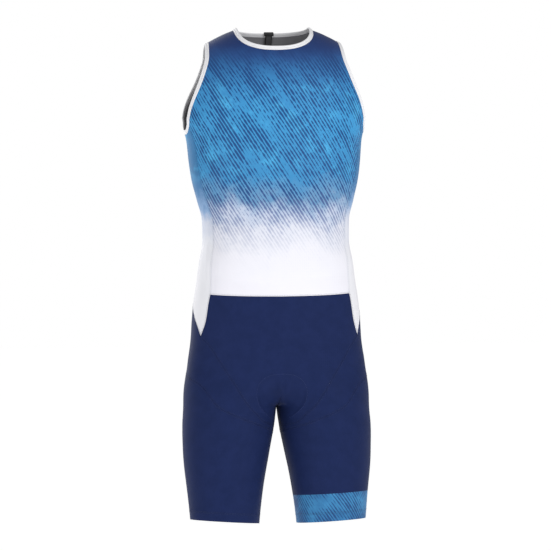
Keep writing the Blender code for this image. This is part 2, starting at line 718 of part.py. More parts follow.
def box(sizes, frame, shift=(0.0, 0.0)):
    """Corners and faces of a box given by half width, up the zip and outwards."""
    point, up, out = frame
    half, low, high, inner, outer = sizes
    across = np.array((1.0, 0.0, 0.0))
    corners = [point + across * x + up * (m - shift[0]) + out * (n - shift[1])
               for n in (inner, outer) for x, m in ((-half, low), (half, low), (half, high), (-half, high))]
    faces = [[3, 2, 1, 0], [4, 5, 6, 7], [0, 1, 5, 4], [1, 2, 6, 5], [2, 3, 7, 6], [3, 0, 4, 7]]
    return outward(corners, faces)


def combine(item, other, operation):
    """Boolean of one object with a helper that is not part of the suit."""
    other.hide_render = True
    other.display_type = "WIRE"
    modifier = item.modifiers.new(operation.lower(), "BOOLEAN")
    modifier.operation = operation
    modifier.solver = "EXACT"
    modifier.object = other


def add_zip(seams, metal, black):
    """Coil zip in the centre back with its guard, its top cover, its slider and the slider's pull."""
    rows = zip_rows(seams)
    tape = edge_frames(seams["neck back"][:2], [np.ones(3)] * 2, False, NECK_LIFT)[0][1]
    binding_way = np.array((0.0, tape[1], tape[2])) / math.hypot(tape[1], tape[2])
    frames = zip_frames(rows, binding_way)
    add_object("zip_tape", *outward(*sweep(frames, ZIP_PROFILE)), black)
    add_object("zip_guard", *outward(*sweep(frames, GUARD_PROFILE)), black)

    out = np.cross(binding_way, np.array((1.0, 0.0, 0.0)))
    sides = [(rows[-1] + np.array((x, 0.0, 0.0)), binding_way, out)
             for x in (-COVER_HALF_WIDTH, COVER_HALF_WIDTH)]
    add_object("zip_cover", *outward(*sweep(sides, COVER_SIDE)), black)

    up = (rows[-1] - rows[-2]) / np.linalg.norm(rows[-1] - rows[-2])
    frame = (rows[-1], up, np.cross(up, np.array((1.0, 0.0, 0.0))))
    slider = add_object("zip_slider", *box(SLIDER_PLATE, frame), metal)
    bridge = add_object("bridge_shape", *box(SLIDER_BRIDGE, frame), metal)
    hole = add_object("bridge_hole_shape", *box(BRIDGE_HOLE, frame), metal)
    combine(bridge, hole, "DIFFERENCE")
    combine(slider, bridge, "UNION")

    # the pull is modelled round its hinge line, where its own origin lies
    turned = (np.zeros(3), *frame[1:])
    pull = add_object("zip_pull_tab", *box(PULL_PLATE, turned, PULL_BAR), metal)
    slot = add_object("pull_hole_shape", *box(PULL_HOLE, turned, PULL_BAR), metal)
    hinge = frame[0] + frame[1] * PULL_BAR[0] + frame[2] * PULL_BAR[1]
    pull.location = slot.location = tuple(map(float, hinge))
    combine(pull, slot, "DIFFERENCE")


# ---------------------------------------------------------------- pad
def pad_line():
    """Points along the middle of the pad, from its front end under the crotch to the back."""
    front = [form_point(0.0, level) for level in np.linspace(PAD_FRONT_END, CROTCH, 40)]
    back = [form_point(1.0, level) for level in np.linspace(CROTCH, TURN_SHIFT_START, 90)]
    return np.array(front + back[1:])


def clip(sheet, share):
    """Part of a sheet where the corners' shares are not negative; the cut runs between corners."""
    part = Sheet()
    made = {}

    def corner(key, point, normal):
        if key not in made:
            made[key] = len(part.points)
            part.points.append(point)
            part.normals.append(normal / np.linalg.norm(normal))
        return made[key]

    for triangle in sheet.faces:
        kept = []
        for k, start in enumerate(triangle):
            end = triangle[(k + 1) % 3]
            if share[start] >= 0:
                kept.append(corner((start,), sheet.points[start], sheet.normals[start]))
            if share[start] * share[end] < 0:
                low, high = sorted((start, end))
                t = share[low] / (share[low] - share[high])
                kept.append(corner((low, high), (1 - t) * sheet.points[low] + t * sheet.points[high],
                                   (1 - t) * sheet.normals[low] + t * sheet.normals[high]))
        inside = sum(share[v] > 0 for v in triangle)
        if len(kept) > 2 and inside:
            part.faces.append(kept)
    return part


def add_pad(grids, material):
    """Soft pad between the legs, which follows the panels it is sewn to."""
    sheet = Sheet()
    for name in ("shorts_front", "hip"):
        for mirror in (False, True):
            sheet.add_grid(grids[name], mirror)
    weld(sheet)
    line = pad_line()
    way = np.concatenate(([0.0], np.cumsum(np.linalg.norm(np.diff(line, axis=0), axis=1))))
    share = []
    for point in sheet.points:
        distances = np.linalg.norm(line - point, axis=1)
        nearest = int(np.argmin(distances))
        beyond = nearest == 0 and point[2] > line[0][2]
        inside = smooth(PAD_OUTLINE, 1, way[nearest]) - float(distances[nearest])
        if beyond or way[nearest] > PAD_OUTLINE[-1][0]:
            inside = -float(distances[nearest]) - abs(way[nearest] - PAD_OUTLINE[-1][0]) - PAD_SNAP
        share.append(0.0 if abs(inside) < PAD_SNAP else inside)
    pad = clip(sheet, share)
    add_object("chamois_pad", *outward(*pad.wall(PAD_OUTER, PAD_INNER)), material)


def weld(sheet):
    """Joins a sheet's corners that lie at one point, and averages their outward directions."""
    places, index = {}, []
    points, normals = [], []
    for point, normal in zip(sheet.points, sheet.normals):
        key = tuple(int(round(value * 1e5)) for value in point)
        if key not in places:
            places[key] = len(points)
            points.append(point)
            normals.append(np.zeros(3))
        normals[places[key]] = normals[places[key]] + normal
        index.append(places[key])
    sheet.points = points
    sheet.normals = [normal / np.linalg.norm(normal) for normal in normals]
    faces = [[index[v] for v in face] for face in sheet.faces]
    sheet.faces = [face for face in faces if len(set(face)) == 3]


def main():
    """Builds the suit."""
    for item in list(bpy.data.objects):
        bpy.data.objects.remove(item, do_unlink=True)
    sky = make_material("printed knit", (0.06, 0.22, 0.46), 0.62)
    pale = make_material("side knit", (0.45, 0.55, 0.75), 0.62)
    navy = make_material("navy knit", (0.012, 0.024, 0.090), 0.66)
    band = make_material("band knit", (0.05, 0.27, 0.50), 0.62)
    white = make_material("white edge tape", (0.90, 0.90, 0.91), 0.60)
    grey = make_material("grey pad", (0.10, 0.10, 0.11), 0.85)
    black = make_material("black zip tape", (0.015, 0.015, 0.017), 0.70)
    metal = make_material("dark zip metal", (0.08, 0.08, 0.09), 0.38, 0.9)

    seams = make_seams()
    grids = panel_grids(seams)
    whole = [(False, False), (True, False)]
    add_cloth("torso_front", [(grids["torso_front"], *flags) for flags in whole], sky)
    add_cloth("shorts_front", [(grids["shorts_front"], *flags) for flags in whole], navy)
    for side, mirror in (("left", False), ("right", True)):
        add_cloth(f"torso_back_{side}", [(grids["torso_back"], mirror, False)], sky)
        add_cloth(f"torso_side_{side}", [(grids["torso_side"], mirror, False)], pale)
        add_cloth(f"hip_{side}", [(grids["hip"], mirror, False)], navy)
        leg = "leg_short" if side == "left" else "leg_whole"
        add_cloth(f"leg_{side}", [(grids[leg], mirror, True)], navy)
    add_cloth("hem_band_left", [(grids["hem_band"], False, True)], band)
    add_bindings(seams, white)
    add_zip(seams, metal, black)
    add_pad(grids, grey)


main()
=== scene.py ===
"""Dresses the sleeveless racing skinsuit: fine cloth over its solids, prints, seams, zip and light.

The cloth follows one worn form. A place on it is a turn and a level:
  turn    0 at the centre front (below the crotch: at the inseam), 0.5 at the outer side, 1 at the centre back
  level   the height below the chest line, and above it the way travelled over the rounded yoke
The form is worked out for the wearer's left half and mirrored for the right one.
"""
from __future__ import annotations

import logging
import math
from dataclasses import dataclass, field
from enum import Enum
from functools import partialmethod
from typing import Sequence

import bpy
import numpy as np
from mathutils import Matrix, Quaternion, Vector, noise

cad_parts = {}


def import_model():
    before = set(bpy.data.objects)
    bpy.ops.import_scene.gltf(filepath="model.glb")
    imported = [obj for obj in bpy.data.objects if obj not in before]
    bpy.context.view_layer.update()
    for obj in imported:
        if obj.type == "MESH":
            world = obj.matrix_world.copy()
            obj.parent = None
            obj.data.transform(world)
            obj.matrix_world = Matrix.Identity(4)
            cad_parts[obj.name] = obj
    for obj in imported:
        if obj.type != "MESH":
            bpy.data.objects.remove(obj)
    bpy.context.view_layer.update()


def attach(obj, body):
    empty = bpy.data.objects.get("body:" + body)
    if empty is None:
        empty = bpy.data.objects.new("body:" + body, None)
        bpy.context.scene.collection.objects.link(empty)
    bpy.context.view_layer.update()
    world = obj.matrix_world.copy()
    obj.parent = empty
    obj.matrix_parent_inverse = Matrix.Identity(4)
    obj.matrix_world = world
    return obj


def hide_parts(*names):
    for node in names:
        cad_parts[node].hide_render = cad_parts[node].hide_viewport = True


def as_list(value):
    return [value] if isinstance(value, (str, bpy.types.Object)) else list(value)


LOG = logging.getLogger("skinsuit")

Place = tuple[float, float]
Run = list[Place]

CHEST_LINE = -0.165
YOKE_RUN = 0.185
SHOULDER = CHEST_LINE + YOKE_RUN
YOKE_SET_BACK = 0.024
CROTCH = -0.7005
INSEAM_JOINT = -0.752
SLANT_JOINT = -0.7405
HEM = -0.9175
HEM_TILT = 0.063
SPLIT_START = -0.6255
RING_POWER = 2.3
TURN_POWER = 2.0 / 2.3
TURN_SHIFT_START = -0.500
NECK_HALF_WIDTH = 0.0745
NECK_FRONT_DROP = 0.0355
NECK_BACK_DROP = 0.0135
NECK_POWER = 2.0 / 2.3
NECK_LIFT = 0.45
ARMHOLE_BOTTOM = -0.1945
ARMHOLE_SEAM_FRONT = (0.403, -0.178)
ARMHOLE_SEAM_BACK = (0.602, -0.176)
WAIST_FRONT = -0.4960
WAIST_CORNER = (0.318, -0.4922)
SHORTS_SIDE_BEND = (0.1384, -0.5386)
HIP_POINT_VIEW = (0.1474, -0.5696)
WAIST_BACK = -0.4930
BACK_CORNER = (0.612, -0.5010)
ZIP_HALF_OPENING = 0.0034
ZIP_END = -0.395
BAND_HEIGHT = 0.052
PAD_FRONT_END = -0.641

FINE = 5                     # cells of the dressed cloth to one cell of the solids
CELLS = {
    "neck front": 9, "neck back": 7, "shoulder": 4, "armhole front": 12, "armhole back": 12,
    "armhole bottom": 6, "side seam": 9, "side seam back": 8, "shorts side": 3, "hip top": 4,
    "slant seam": 9, "inseam top": 2, "hip rows": 11, "leg rows": 8, "band rows": 2,
}
CELLS["waist"] = CELLS["neck front"] + CELLS["shoulder"]
CELLS["waist back"] = CELLS["neck back"] + CELLS["shoulder"]
CELLS["leg seam"] = CELLS["slant seam"] + CELLS["hip top"] + CELLS["waist back"]
CELLS = {name: count * FINE for name, count in CELLS.items()}

# level, half width, front, back, shift of each ring of the trunk (metres)
TRUNK = [
    (-0.165, 0.1735, 0.112, 0.110, 0.012), (-0.185, 0.1690, 0.113, 0.109, 0.011),
    (-0.206, 0.1640, 0.113, 0.107, 0.010), (-0.243, 0.1607, 0.112, 0.102, 0.007),
    (-0.2805, 0.1556, 0.107, 0.096, 0.003), (-0.318, 0.1465, 0.102, 0.092, -0.001),
    (-0.355, 0.1375, 0.099, 0.090, -0.004), (-0.393, 0.1369, 0.099, 0.091, -0.005),
    (-0.430, 0.1435, 0.101, 0.097, -0.004), (-0.4675, 0.1482, 0.103, 0.104, -0.002),
    (-0.505, 0.1539, 0.104, 0.112, 0.000), (-0.542, 0.1576, 0.104, 0.118, 0.001),
    (-0.580, 0.1600, 0.103, 0.122, 0.002), (-0.617, 0.1652, 0.101, 0.122, 0.003),
    (-0.6545, 0.1697, 0.099, 0.118, 0.004), (-0.7005, 0.1742, 0.096, 0.112, 0.006),
]
# level, inner gap, half width, half depth, shift of each ring of a leg
LEG = [
    (-0.7005, 0.0000, 0.0871, 0.098, 0.007), (-0.715, 0.0018, 0.0866, 0.097, 0.007),
    (-0.729, 0.0038, 0.0862, 0.096, 0.006), (-0.748, 0.0070, 0.0850, 0.094, 0.005),
    (-0.785, 0.0145, 0.0810, 0.089, 0.003), (-0.823, 0.0222, 0.0760, 0.083, 0.000),
    (-0.860, 0.0285, 0.0708, 0.077, -0.003), (-0.898, 0.0335, 0.0665, 0.072, -0.005),
    (-0.9400, 0.0372, 0.0628, 0.067, -0.007),
]
# distance from the middle and height of the shoulder's top line
SHOULDER_TOP = [
    (0.000, 0.0150), (0.030, 0.0115), (0.055, 0.0050), (0.0745, -0.0010), (0.090, -0.0070),
    (0.105, -0.0140), (0.121, -0.0225), (0.145, -0.0360), (0.170, -0.0500),
]
# across, height and back cut of the armhole's edge
ARMHOLE = [
    (0.1200, -0.0220, 0.0000), (0.1235, -0.0370, 0.0045), (0.1267, -0.0560, 0.0080),
    (0.1353, -0.0815, 0.0095), (0.1451, -0.1066, 0.0085), (0.1560, -0.1330, 0.0050),
    (0.1613, -0.1500, 0.0020), (0.1637, -0.1630, 0.0000),
]
# level and turns of the front and the back side seam
SIDE_SEAM = [
    (-0.178, 0.403, 0.602), (-0.224, 0.382, 0.618), (-0.280, 0.368, 0.630), (-0.337, 0.356, 0.640),
    (-0.387, 0.347, 0.648), (-0.443, 0.337, 0.640), (-0.4922, 0.318, 0.615), (-0.5100, 0.312, 0.608),
]
# across and height of the slanting seams, seen from the front
SLANT_SEAM = [
    (0.1305, -0.5920), (0.1165, -0.6160), (0.1015, -0.6400), (0.0815, -0.6735),
    (0.0621, -0.7012), (0.0461, -0.7168), (0.0285, -0.7322),
]
LEG_SEAM_FRONT = [
    (0.0294, -0.7408), (0.0560, -0.7315), (0.0780, -0.7225), (0.1000, -0.7134),
    (0.1200, -0.7012), (0.1310, -0.6880), (0.1430, -0.6695), (0.1560, -0.6564),
]
# turn and level of the leg seam from the outer side round the back
LEG_SEAM_BACK = [
    (0.500, -0.6440), (0.600, -0.6470), (0.700, -0.6650), (0.800, -0.6960), (0.900, -0.7300),
    (1.000, INSEAM_JOINT),
]
# way along the middle and half width of the pad
PAD_OUTLINE = [
    (0.000, 0.022), (0.030, 0.044), (0.070, 0.050), (0.110, 0.042), (0.150, 0.038),
    (0.200, 0.056), (0.250, 0.064), (0.300, 0.050), (0.330, 0.024),
]
REFLECTS = 0.76              # surface brightness to screen brightness
THIGH_BLEND = 0.22           # turns from the inseam over which a thigh swells more slowly
UNEVEN_HEIGHT = 0.0004
LOOP_HEIGHT = 0.00012
THREAD_HEIGHT = 0.0001
UNEVEN_SCALE = 22
CREASE_TIP = 0.02            # share of a crease at which its fading stops
CREASE_FADE = 0.6
PLAIN = np.ones(3)
MIRRORED = np.array((-1.0, 1.0, 1.0))


def smooth(rows: Sequence[Sequence[float]], column: int, value: float) -> float:
    """Reads a table on a monotone curve through its rows.

    Args:
        rows: the table, with its knots in the first column.
        column: the column to read.
        value: the place in the first column.

    Returns:
        The column's value there.
    """
    knots = [row[0] for row in rows]
    heights = [row[column] for row in rows]
    if knots[0] > knots[-1]:
        knots.reverse()
        heights.reverse()
    last = len(knots) - 1
    value = min(max(value, knots[0]), knots[-1])
    slopes = [(heights[i + 1] - heights[i]) / (knots[i + 1] - knots[i]) for i in range(last)]

    def tangent(i: int) -> float:
        """Slope of the curve at a knot."""
        if i in (0, last):
            return slopes[0 if i == 0 else -1]
        if slopes[i - 1] * slopes[i] <= 0:
            return 0.0
        return 2 * slopes[i - 1] * slopes[i] / (slopes[i - 1] + slopes[i])

    i = 0
    while i < last - 1 and value > knots[i + 1]:
        i += 1
    step = knots[i + 1] - knots[i]
    t = (value - knots[i]) / step
    return ((1 + 2 * t) * (1 - t) ** 2 * heights[i] + t * (1 - t) ** 2 * step * tangent(i)
            + t * t * (3 - 2 * t) * heights[i + 1] - t * t * (1 - t) * step * tangent(i + 1))


def ease(share: float) -> float:
    """Smooth step from 0 to 1."""
    share = min(max(share, 0.0), 1.0)
    return share * share * (3 - 2 * share)


def unit(vector: np.ndarray) -> np.ndarray:
    """The vector at length 1."""
    return vector / np.linalg.norm(vector)


class WornForm:
    """The shape that the cloth takes when it is worn, left half."""

    def __init__(self) -> None:
        """Starts with no points known."""
        self.known: dict[Place, np.ndarray] = {}

    def trunk(self, turn: float, level: float) -> np.ndarray:
        """Point of the trunk."""
        ring = min(level, CHEST_LINE)
        half_width, front, back, shift = (smooth(TRUNK, column, ring) for column in (1, 2, 3, 4))
        drift = ease((TURN_SHIFT_START - level) / (TURN_SHIFT_START - CROTCH))
        power = TURN_POWER + (2.0 - TURN_POWER) * drift
        share = math.sin(math.pi * turn) ** power if 0 < turn < 1 else 0.0
        across = half_width * share
        forward = max(1 - share ** RING_POWER, 0.0) ** (1 / RING_POWER) * (1 if turn < 0.5 else -1)
        depth = front if turn < 0.5 else back
        if level <= CHEST_LINE:
            return np.array((across, shift - depth * forward, level))
        arc = min((level - CHEST_LINE) / YOKE_RUN, 1.0) * math.pi / 2
        top = smooth(SHOULDER_TOP, 1, across)
        shift += (YOKE_SET_BACK - shift) * math.sin(arc)
        height = CHEST_LINE + (top - CHEST_LINE) * math.sin(arc)
        return np.array((across, shift - depth * forward * math.cos(arc), height))

    def leg(self, turn: float, level: float) -> np.ndarray:
        """Point of the leg, whose ring starts and ends at the inseam."""
        ring = min(level, CROTCH)
        inner, half_width, half_depth, shift = (smooth(LEG, column, ring) for column in (1, 2, 3, 4))
        angle = 2 * math.pi * turn
        across = inner + half_width * (1 - math.cos(angle))
        tilt = HEM_TILT * ease((CROTCH - level) / (CROTCH - HEM))
        height = level + tilt * (across - inner - half_width)
        return np.array((across, shift - half_depth * math.sin(angle), height))

    def point(self, turn: float, level: float) -> np.ndarray:
        """Point of the form.

        Args:
            turn: the place round the body.
            level: the height, or the way over the yoke.

        Returns:
            The point in metres.
        """
        key = (turn, level)
        if key not in self.known:
            if level >= SPLIT_START:
                self.known[key] = self.trunk(turn, level)
            elif level <= CROTCH:
                self.known[key] = self.leg(turn, level)
            else:
                share = (SPLIT_START - level) / (SPLIT_START - CROTCH)
                inner = 1 - ease(min(turn, 1 - turn) / THIGH_BLEND)
                split = inner * (1 - math.sqrt(1 - share * share)) + (1 - inner) * ease(share)
                self.known[key] = (1 - split) * self.trunk(turn, level) + split * self.leg(turn, level)
        return self.known[key]

    def normal(self, turn: float, level: float) -> np.ndarray:
        """Outward direction of the form."""
        step = 2e-4
        if turn in (0.0, 1.0) and level > CROTCH - 1e-6:
            if level < CROTCH + 1e-6:
                return np.array((0.0, 0.0, -1.0))
            up = self.point(turn, level + step / 10) - self.point(turn, level - step / 10)
            return unit(np.array((0.0, -up[2], up[1]))) * (1 if turn == 0.0 else -1)
        along = self.point(min(turn + step, 1), level) - self.point(max(turn - step, 0), level)
        up = self.point(turn, min(level + step, SHOULDER)) - self.point(turn, level - step)
        return unit(np.cross(along, up))

    def turn_at(self, across: float, level: float, back: bool = False) -> float:
        """Turn of the point that lies this far from the middle."""
        low, high = (0.5, 1.0) if back else (0.0, 0.5)
        for _ in range(34):
            middle = (low + high) / 2
            shape = self.trunk if level >= SPLIT_START else self.point
            if (shape(middle, level)[0] < across) == back:
                high = middle
            else:
                low = middle
        return (low + high) / 2

    def from_view(self, across: float, height: float, back: bool = False) -> Place:
        """Place of a point seen from the front or the back."""
        if height <= CHEST_LINE:
            return self.turn_at(across, height, back), height
        rise = (height - CHEST_LINE) / (smooth(SHOULDER_TOP, 1, across) - CHEST_LINE)
        level = CHEST_LINE + YOKE_RUN * math.asin(min(rise, 1.0)) / (math.pi / 2)
        return self.turn_at(across, level, back), level


FORM = WornForm()


def curve_through(places: Sequence[Place], count: int = 12) -> Run:
    """Smooth run of places through a few given ones."""
    knots = [np.array(place, dtype=float) for place in places]
    run: list[np.ndarray] = []
    for i in range(len(knots) - 1):
        before, start, end = knots[max(i - 1, 0)], knots[i], knots[i + 1]
        after = knots[min(i + 2, len(knots) - 1)]
        for k in range(count):
            t = k / count
            run.append(0.5 * (2 * start + (end - before) * t
                              + (2 * before - 5 * start + 4 * end - after) * t * t
                              + (3 * start - before - 3 * end + after) * t ** 3))
    run.append(knots[-1])
    return [tuple(float(value) for value in place) for place in run]


def spaced(run: Sequence[Place], cells: int) -> Run:
    """The same run with evenly spaced places, measured on the form."""
    places = np.array(run, dtype=float)
    points = np.array([FORM.point(*place) for place in places])
    way = np.concatenate(([0.0], np.cumsum(np.linalg.norm(np.diff(points, axis=0), axis=1))))
    stops = np.linspace(0, way[-1], cells + 1)
    spread = [(float(np.interp(stop, way, places[:, 0])), float(np.interp(stop, way, places[:, 1])))
              for stop in stops]
    spread[0], spread[-1] = tuple(map(float, places[0])), tuple(map(float, places[-1]))
    return spread


def reverse(run: Run) -> Run:
    """The run taken the other way."""
    return list(reversed(run))


def middle_run(start: Place, end: Place, cells: int) -> Run:
    """Centre run between two levels."""
    return spaced([(start[0], level) for level in np.linspace(start[1], end[1], 60)], cells)


class Pattern:
    """The suit's paper pattern on the worn form: seams and panels of the left half."""

    def __init__(self) -> None:
        """Lays out the seams and the panels."""
        self.hip_point = FORM.from_view(*HIP_POINT_VIEW)
        self.seams = self.lay_seams()
        self.grids = self.lay_panels()

    def neck(self, drop: float, back: bool) -> Run:
        """Neck edge from the middle out to its side point."""
        top = smooth(SHOULDER_TOP, 1, NECK_HALF_WIDTH)
        run = []
        for angle in np.linspace(math.pi / 2, 0, 60):
            across = NECK_HALF_WIDTH * math.cos(angle) ** NECK_POWER if angle < math.pi / 2 else 0.0
            run.append(FORM.from_view(across, top - drop * math.sin(angle) ** NECK_POWER, back))
        return run

    def armhole(self, back: bool) -> Run:
        """Armhole edge from the shoulder tip down to the side panel."""
        run = [FORM.from_view(across - (cut if back else 0.0), height, back) for across, height, cut in ARMHOLE]
        run[0] = (FORM.turn_at(ARMHOLE[0][0], SHOULDER, back), SHOULDER)
        run.append(ARMHOLE_SEAM_BACK if back else ARMHOLE_SEAM_FRONT)
        return curve_through(run)

    def side_seam(self, column: int, start: Place, end: Place) -> Run:
        """Side seam read from its table."""
        run = [(smooth(SIDE_SEAM, column, level), level) for level in np.linspace(start[1], end[1], 40)]
        run[0], run[-1] = start, end
        return run

    def lay_seams(self) -> dict[str, Run]:
        """All seam runs, each with its own number of cells."""
        turn_at = FORM.turn_at
        tip, tip_back = turn_at(ARMHOLE[0][0], SHOULDER), turn_at(ARMHOLE[0][0], SHOULDER, True)
        side, side_back = turn_at(NECK_HALF_WIDTH, SHOULDER), turn_at(NECK_HALF_WIDTH, SHOULDER, True)
        front_neck, back_neck = self.neck(NECK_FRONT_DROP, False), self.neck(NECK_BACK_DROP, True)
        front_neck[0], front_neck[-1] = (0.0, front_neck[0][1]), (side, SHOULDER)
        back_neck[-1] = (side_back, SHOULDER)
        opening = turn_at(ZIP_HALF_OPENING, back_neck[0][1], True)
        back_neck = [(opening, back_neck[0][1])] + [place for place in back_neck if place[0] < opening]
        waist = (0.16, (WAIST_FRONT * 2 + WAIST_CORNER[1]) / 3)
        waist_back = (0.78, (WAIST_BACK * 2 + BACK_CORNER[1]) / 3)
        slant = [self.hip_point] + [FORM.from_view(*row) for row in SLANT_SEAM] + [(0.0, SLANT_JOINT)]
        lower = [(0.0, INSEAM_JOINT)] + [FORM.from_view(*row) for row in LEG_SEAM_FRONT] + list(LEG_SEAM_BACK)
        seams = {
            "shoulder": [(turn, SHOULDER) for turn in np.linspace(side, tip, 30)],
            "shoulder back": [(turn, SHOULDER) for turn in np.linspace(side_back, tip_back, 30)],
            "neck front": front_neck, "neck back": back_neck,
            "armhole front": self.armhole(False), "armhole back": self.armhole(True),
            "armhole bottom": curve_through([ARMHOLE_SEAM_FRONT, (0.445, -0.1905), (0.500, ARMHOLE_BOTTOM),
                                             (0.556, -0.1895), ARMHOLE_SEAM_BACK]),
            "side seam": self.side_seam(1, ARMHOLE_SEAM_FRONT, WAIST_CORNER),
            "side seam back": self.side_seam(2, ARMHOLE_SEAM_BACK, BACK_CORNER),
            "waist": curve_through([(0.0, WAIST_FRONT), waist, WAIST_CORNER]),
            "waist back": curve_through([BACK_CORNER, waist_back, (1.0, WAIST_BACK)]),
            "shorts side": curve_through([WAIST_CORNER, FORM.from_view(*SHORTS_SIDE_BEND), self.hip_point]),
            "hip top": curve_through([self.hip_point, (0.420, -0.5490), (0.510, -0.5200), BACK_CORNER]),
            "slant seam": curve_through(slant), "leg seam": curve_through(lower),
            "inseam top": [(0.0, level) for level in np.linspace(CROTCH, SLANT_JOINT, 20)],
            "inseam top back": [(1.0, level) for level in np.linspace(CROTCH, SLANT_JOINT, 20)],
        }
        spread = {}
        for name, run in seams.items():
            key = name if name in CELLS else name.replace(" back", "")
            spread[name] = spaced(run, CELLS[key])
        return spread

    def coons(self, bottom: Run, top: Run, left: Run, right: Run, reach: int = 1) -> np.ndarray:
        """Places of a patch between four runs.

        Args:
            bottom, top: runs from left to right.
            left, right: runs upwards.
            reach: how closely the bends of the side runs keep to those sides.

        Returns:
            A table of rows and columns of places.
        """
        columns, rows = len(bottom) - 1, len(left) - 1
        low, high, first, last = (np.array(run, dtype=float) for run in (bottom, top, left, right))
        t = np.linspace(0, 1, rows + 1)[:, None, None]
        s = np.linspace(0, 1, columns + 1)[None, :, None]
        first_bend = first[:, None] - (1 - t) * first[0] - t * first[-1]
        last_bend = last[:, None] - (1 - t) * last[0] - t * last[-1]
        return (1 - t) * low[None] + t * high[None] + (1 - s) ** reach * first_bend + s ** reach * last_bend

    def back_edge(self) -> Run:
        """Centre-back edge from the waist to the neck, which leaves room for the zip."""
        top = self.seams["neck back"][0]
        run = []
        for level in np.linspace(WAIST_BACK, top[1], 80):
            opened = min(max((level - ZIP_END) / 0.030 + 1.0, 0.0), 1.0)
            run.append((FORM.turn_at(ZIP_HALF_OPENING * opened, level, True) if opened > 0 else 1.0, level))
        run[-1] = top
        return spaced(run, CELLS["side seam back"] + CELLS["armhole back"])

    def lay_panels(self) -> dict[str, np.ndarray]:
        """Table of places of each panel."""
        seams, grids = self.seams, {}
        side, side_back = reverse(seams["side seam"]), reverse(seams["side seam back"])
        slant, hip_top, shorts_side = seams["slant seam"], seams["hip top"], seams["shorts side"]
        grids["torso_front"] = self.coons(
            seams["waist"], seams["neck front"] + seams["shoulder"][1:],
            middle_run((0.0, WAIST_FRONT), seams["neck front"][0], CELLS["side seam"] + CELLS["armhole front"]),
            side + reverse(seams["armhole front"])[1:])
        grids["torso_back"] = self.coons(
            seams["waist back"], reverse(seams["shoulder back"]) + reverse(seams["neck back"])[1:],
            side_back + reverse(seams["armhole back"])[1:], self.back_edge())
        grids["torso_side"] = self.coons(
            [self.hip_point] * (CELLS["armhole bottom"] + 1), seams["armhole bottom"],
            reverse(shorts_side) + side[1:], hip_top + side_back[1:])
        inseam = reverse(seams["inseam top"])
        inseam_back = spaced([(1.0, INSEAM_JOINT), (1.0, SLANT_JOINT)], FINE)
        inseam_back += reverse(seams["inseam top back"])[1:]
        front_rows = CELLS["slant seam"] + CELLS["shorts side"] - CELLS["inseam top"]
        grids["shorts_front"] = self.coons(
            [(0.0, SLANT_JOINT)] * (CELLS["waist"] + 1), seams["waist"],
            inseam + middle_run((0.0, CROTCH), (0.0, WAIST_FRONT), front_rows)[1:],
            reverse(slant) + reverse(shorts_side)[1:])
        back_rows = CELLS["hip rows"] - CELLS["inseam top"] - FINE
        grids["hip"] = self.coons(
            seams["leg seam"], reverse(slant) + hip_top[1:] + seams["waist back"][1:],
            middle_run((0.0, INSEAM_JOINT), (0.0, SLANT_JOINT), CELLS["hip rows"]),
            inseam_back + middle_run((1.0, CROTCH), (1.0, WAIST_BACK), back_rows)[1:], reach=5)
        around = [place[0] for place in seams["leg seam"]]
        even = np.linspace(0, 1, len(around))
        columns = [0.25 * turn + 0.75 * float(step) for turn, step in zip(around, even)]
        hem = [(turn, HEM) for turn in columns]
        band = [(turn, HEM + BAND_HEIGHT) for turn in columns]
        rows, band_rows = CELLS["leg rows"], CELLS["band rows"]
        for name, upper, lower, count in (("leg_whole", seams["leg seam"], hem, rows),
                                          ("leg_short", seams["leg seam"], band, rows - band_rows),
                                          ("hem_band", band, hem, band_rows)):
            t = np.linspace(0, 1, count + 1)[:, None, None]
            grids[name] = (1 - t) * np.array(lower)[None] + t * np.array(upper)[None]
        return grids


# ---------------------------------------------------------------- creases
@dataclass(frozen=True)
class Crease:
    """One soft trough or ridge, given by places seen from the front or the back."""

    path: tuple[tuple[float, float], ...]
    depth: float
    width: float
    back: bool = False
    both: bool = False

    def lines(self) -> list[np.ndarray]:
        """Points of the crease on the form, on one side or on both."""
        found = []
        for side in (1.0, -1.0) if self.both else (1.0,):
            points = []
            for across, height in self.path:
                signed = across * side
                turn, level = FORM.from_view(abs(signed), height, self.back)
                points.append(FORM.point(turn, level) * (PLAIN if signed >= 0 else MIRRORED))
            found.append(np.array(points))
        return found

    def push(self, points: np.ndarray) -> np.ndarray:
        """How far each point moves outwards."""
        total = np.zeros(len(points))
        for line in self.lines():
            best = np.full(len(points), 1e9)
            place = np.zeros(len(points))
            spans = len(line) - 1
            for k in range(spans):
                start, run = line[k], line[k + 1] - line[k]
                t = np.clip((points - start) @ run / max(float(run @ run), 1e-12), 0, 1)
                distance = np.linalg.norm(points - start - t[:, None] * run, axis=1)
                nearer = distance < best
                best = np.where(nearer, distance, best)
                place = np.where(nearer, (k + t) / spans, place)
            fade = np.sin(np.pi * np.clip(place, CREASE_TIP, 1 - CREASE_TIP)) ** CREASE_FADE
            total += self.depth * fade * np.exp(-(best / self.width) ** 2)
        return total


def puckers() -> list[Crease]:
    """Small ripples that the side seams draw into the front panel at the waist."""
    found = []
    for k in range(9):
        height = -0.402 - 0.0125 * k - 0.002 * math.sin(k * 2.3)
        reach = 0.118 - 0.005 * math.sin(k * 1.7)
        depth = -0.0007 - 0.0003 * math.sin(k * 3.1 + 1)
        found.append(Crease(((-0.1330, height), (-reach, height - 0.006)), depth, 0.0045))
        if k % 2:
            found.append(Crease(((0.1330, height + 0.004), (0.120, height - 0.001)), depth * 0.7, 0.0045))
            found.append(Crease(((-0.127, height), (-reach + 0.012, height - 0.005)), depth * 0.8, 0.005,
                                back=True, both=True))
    return found


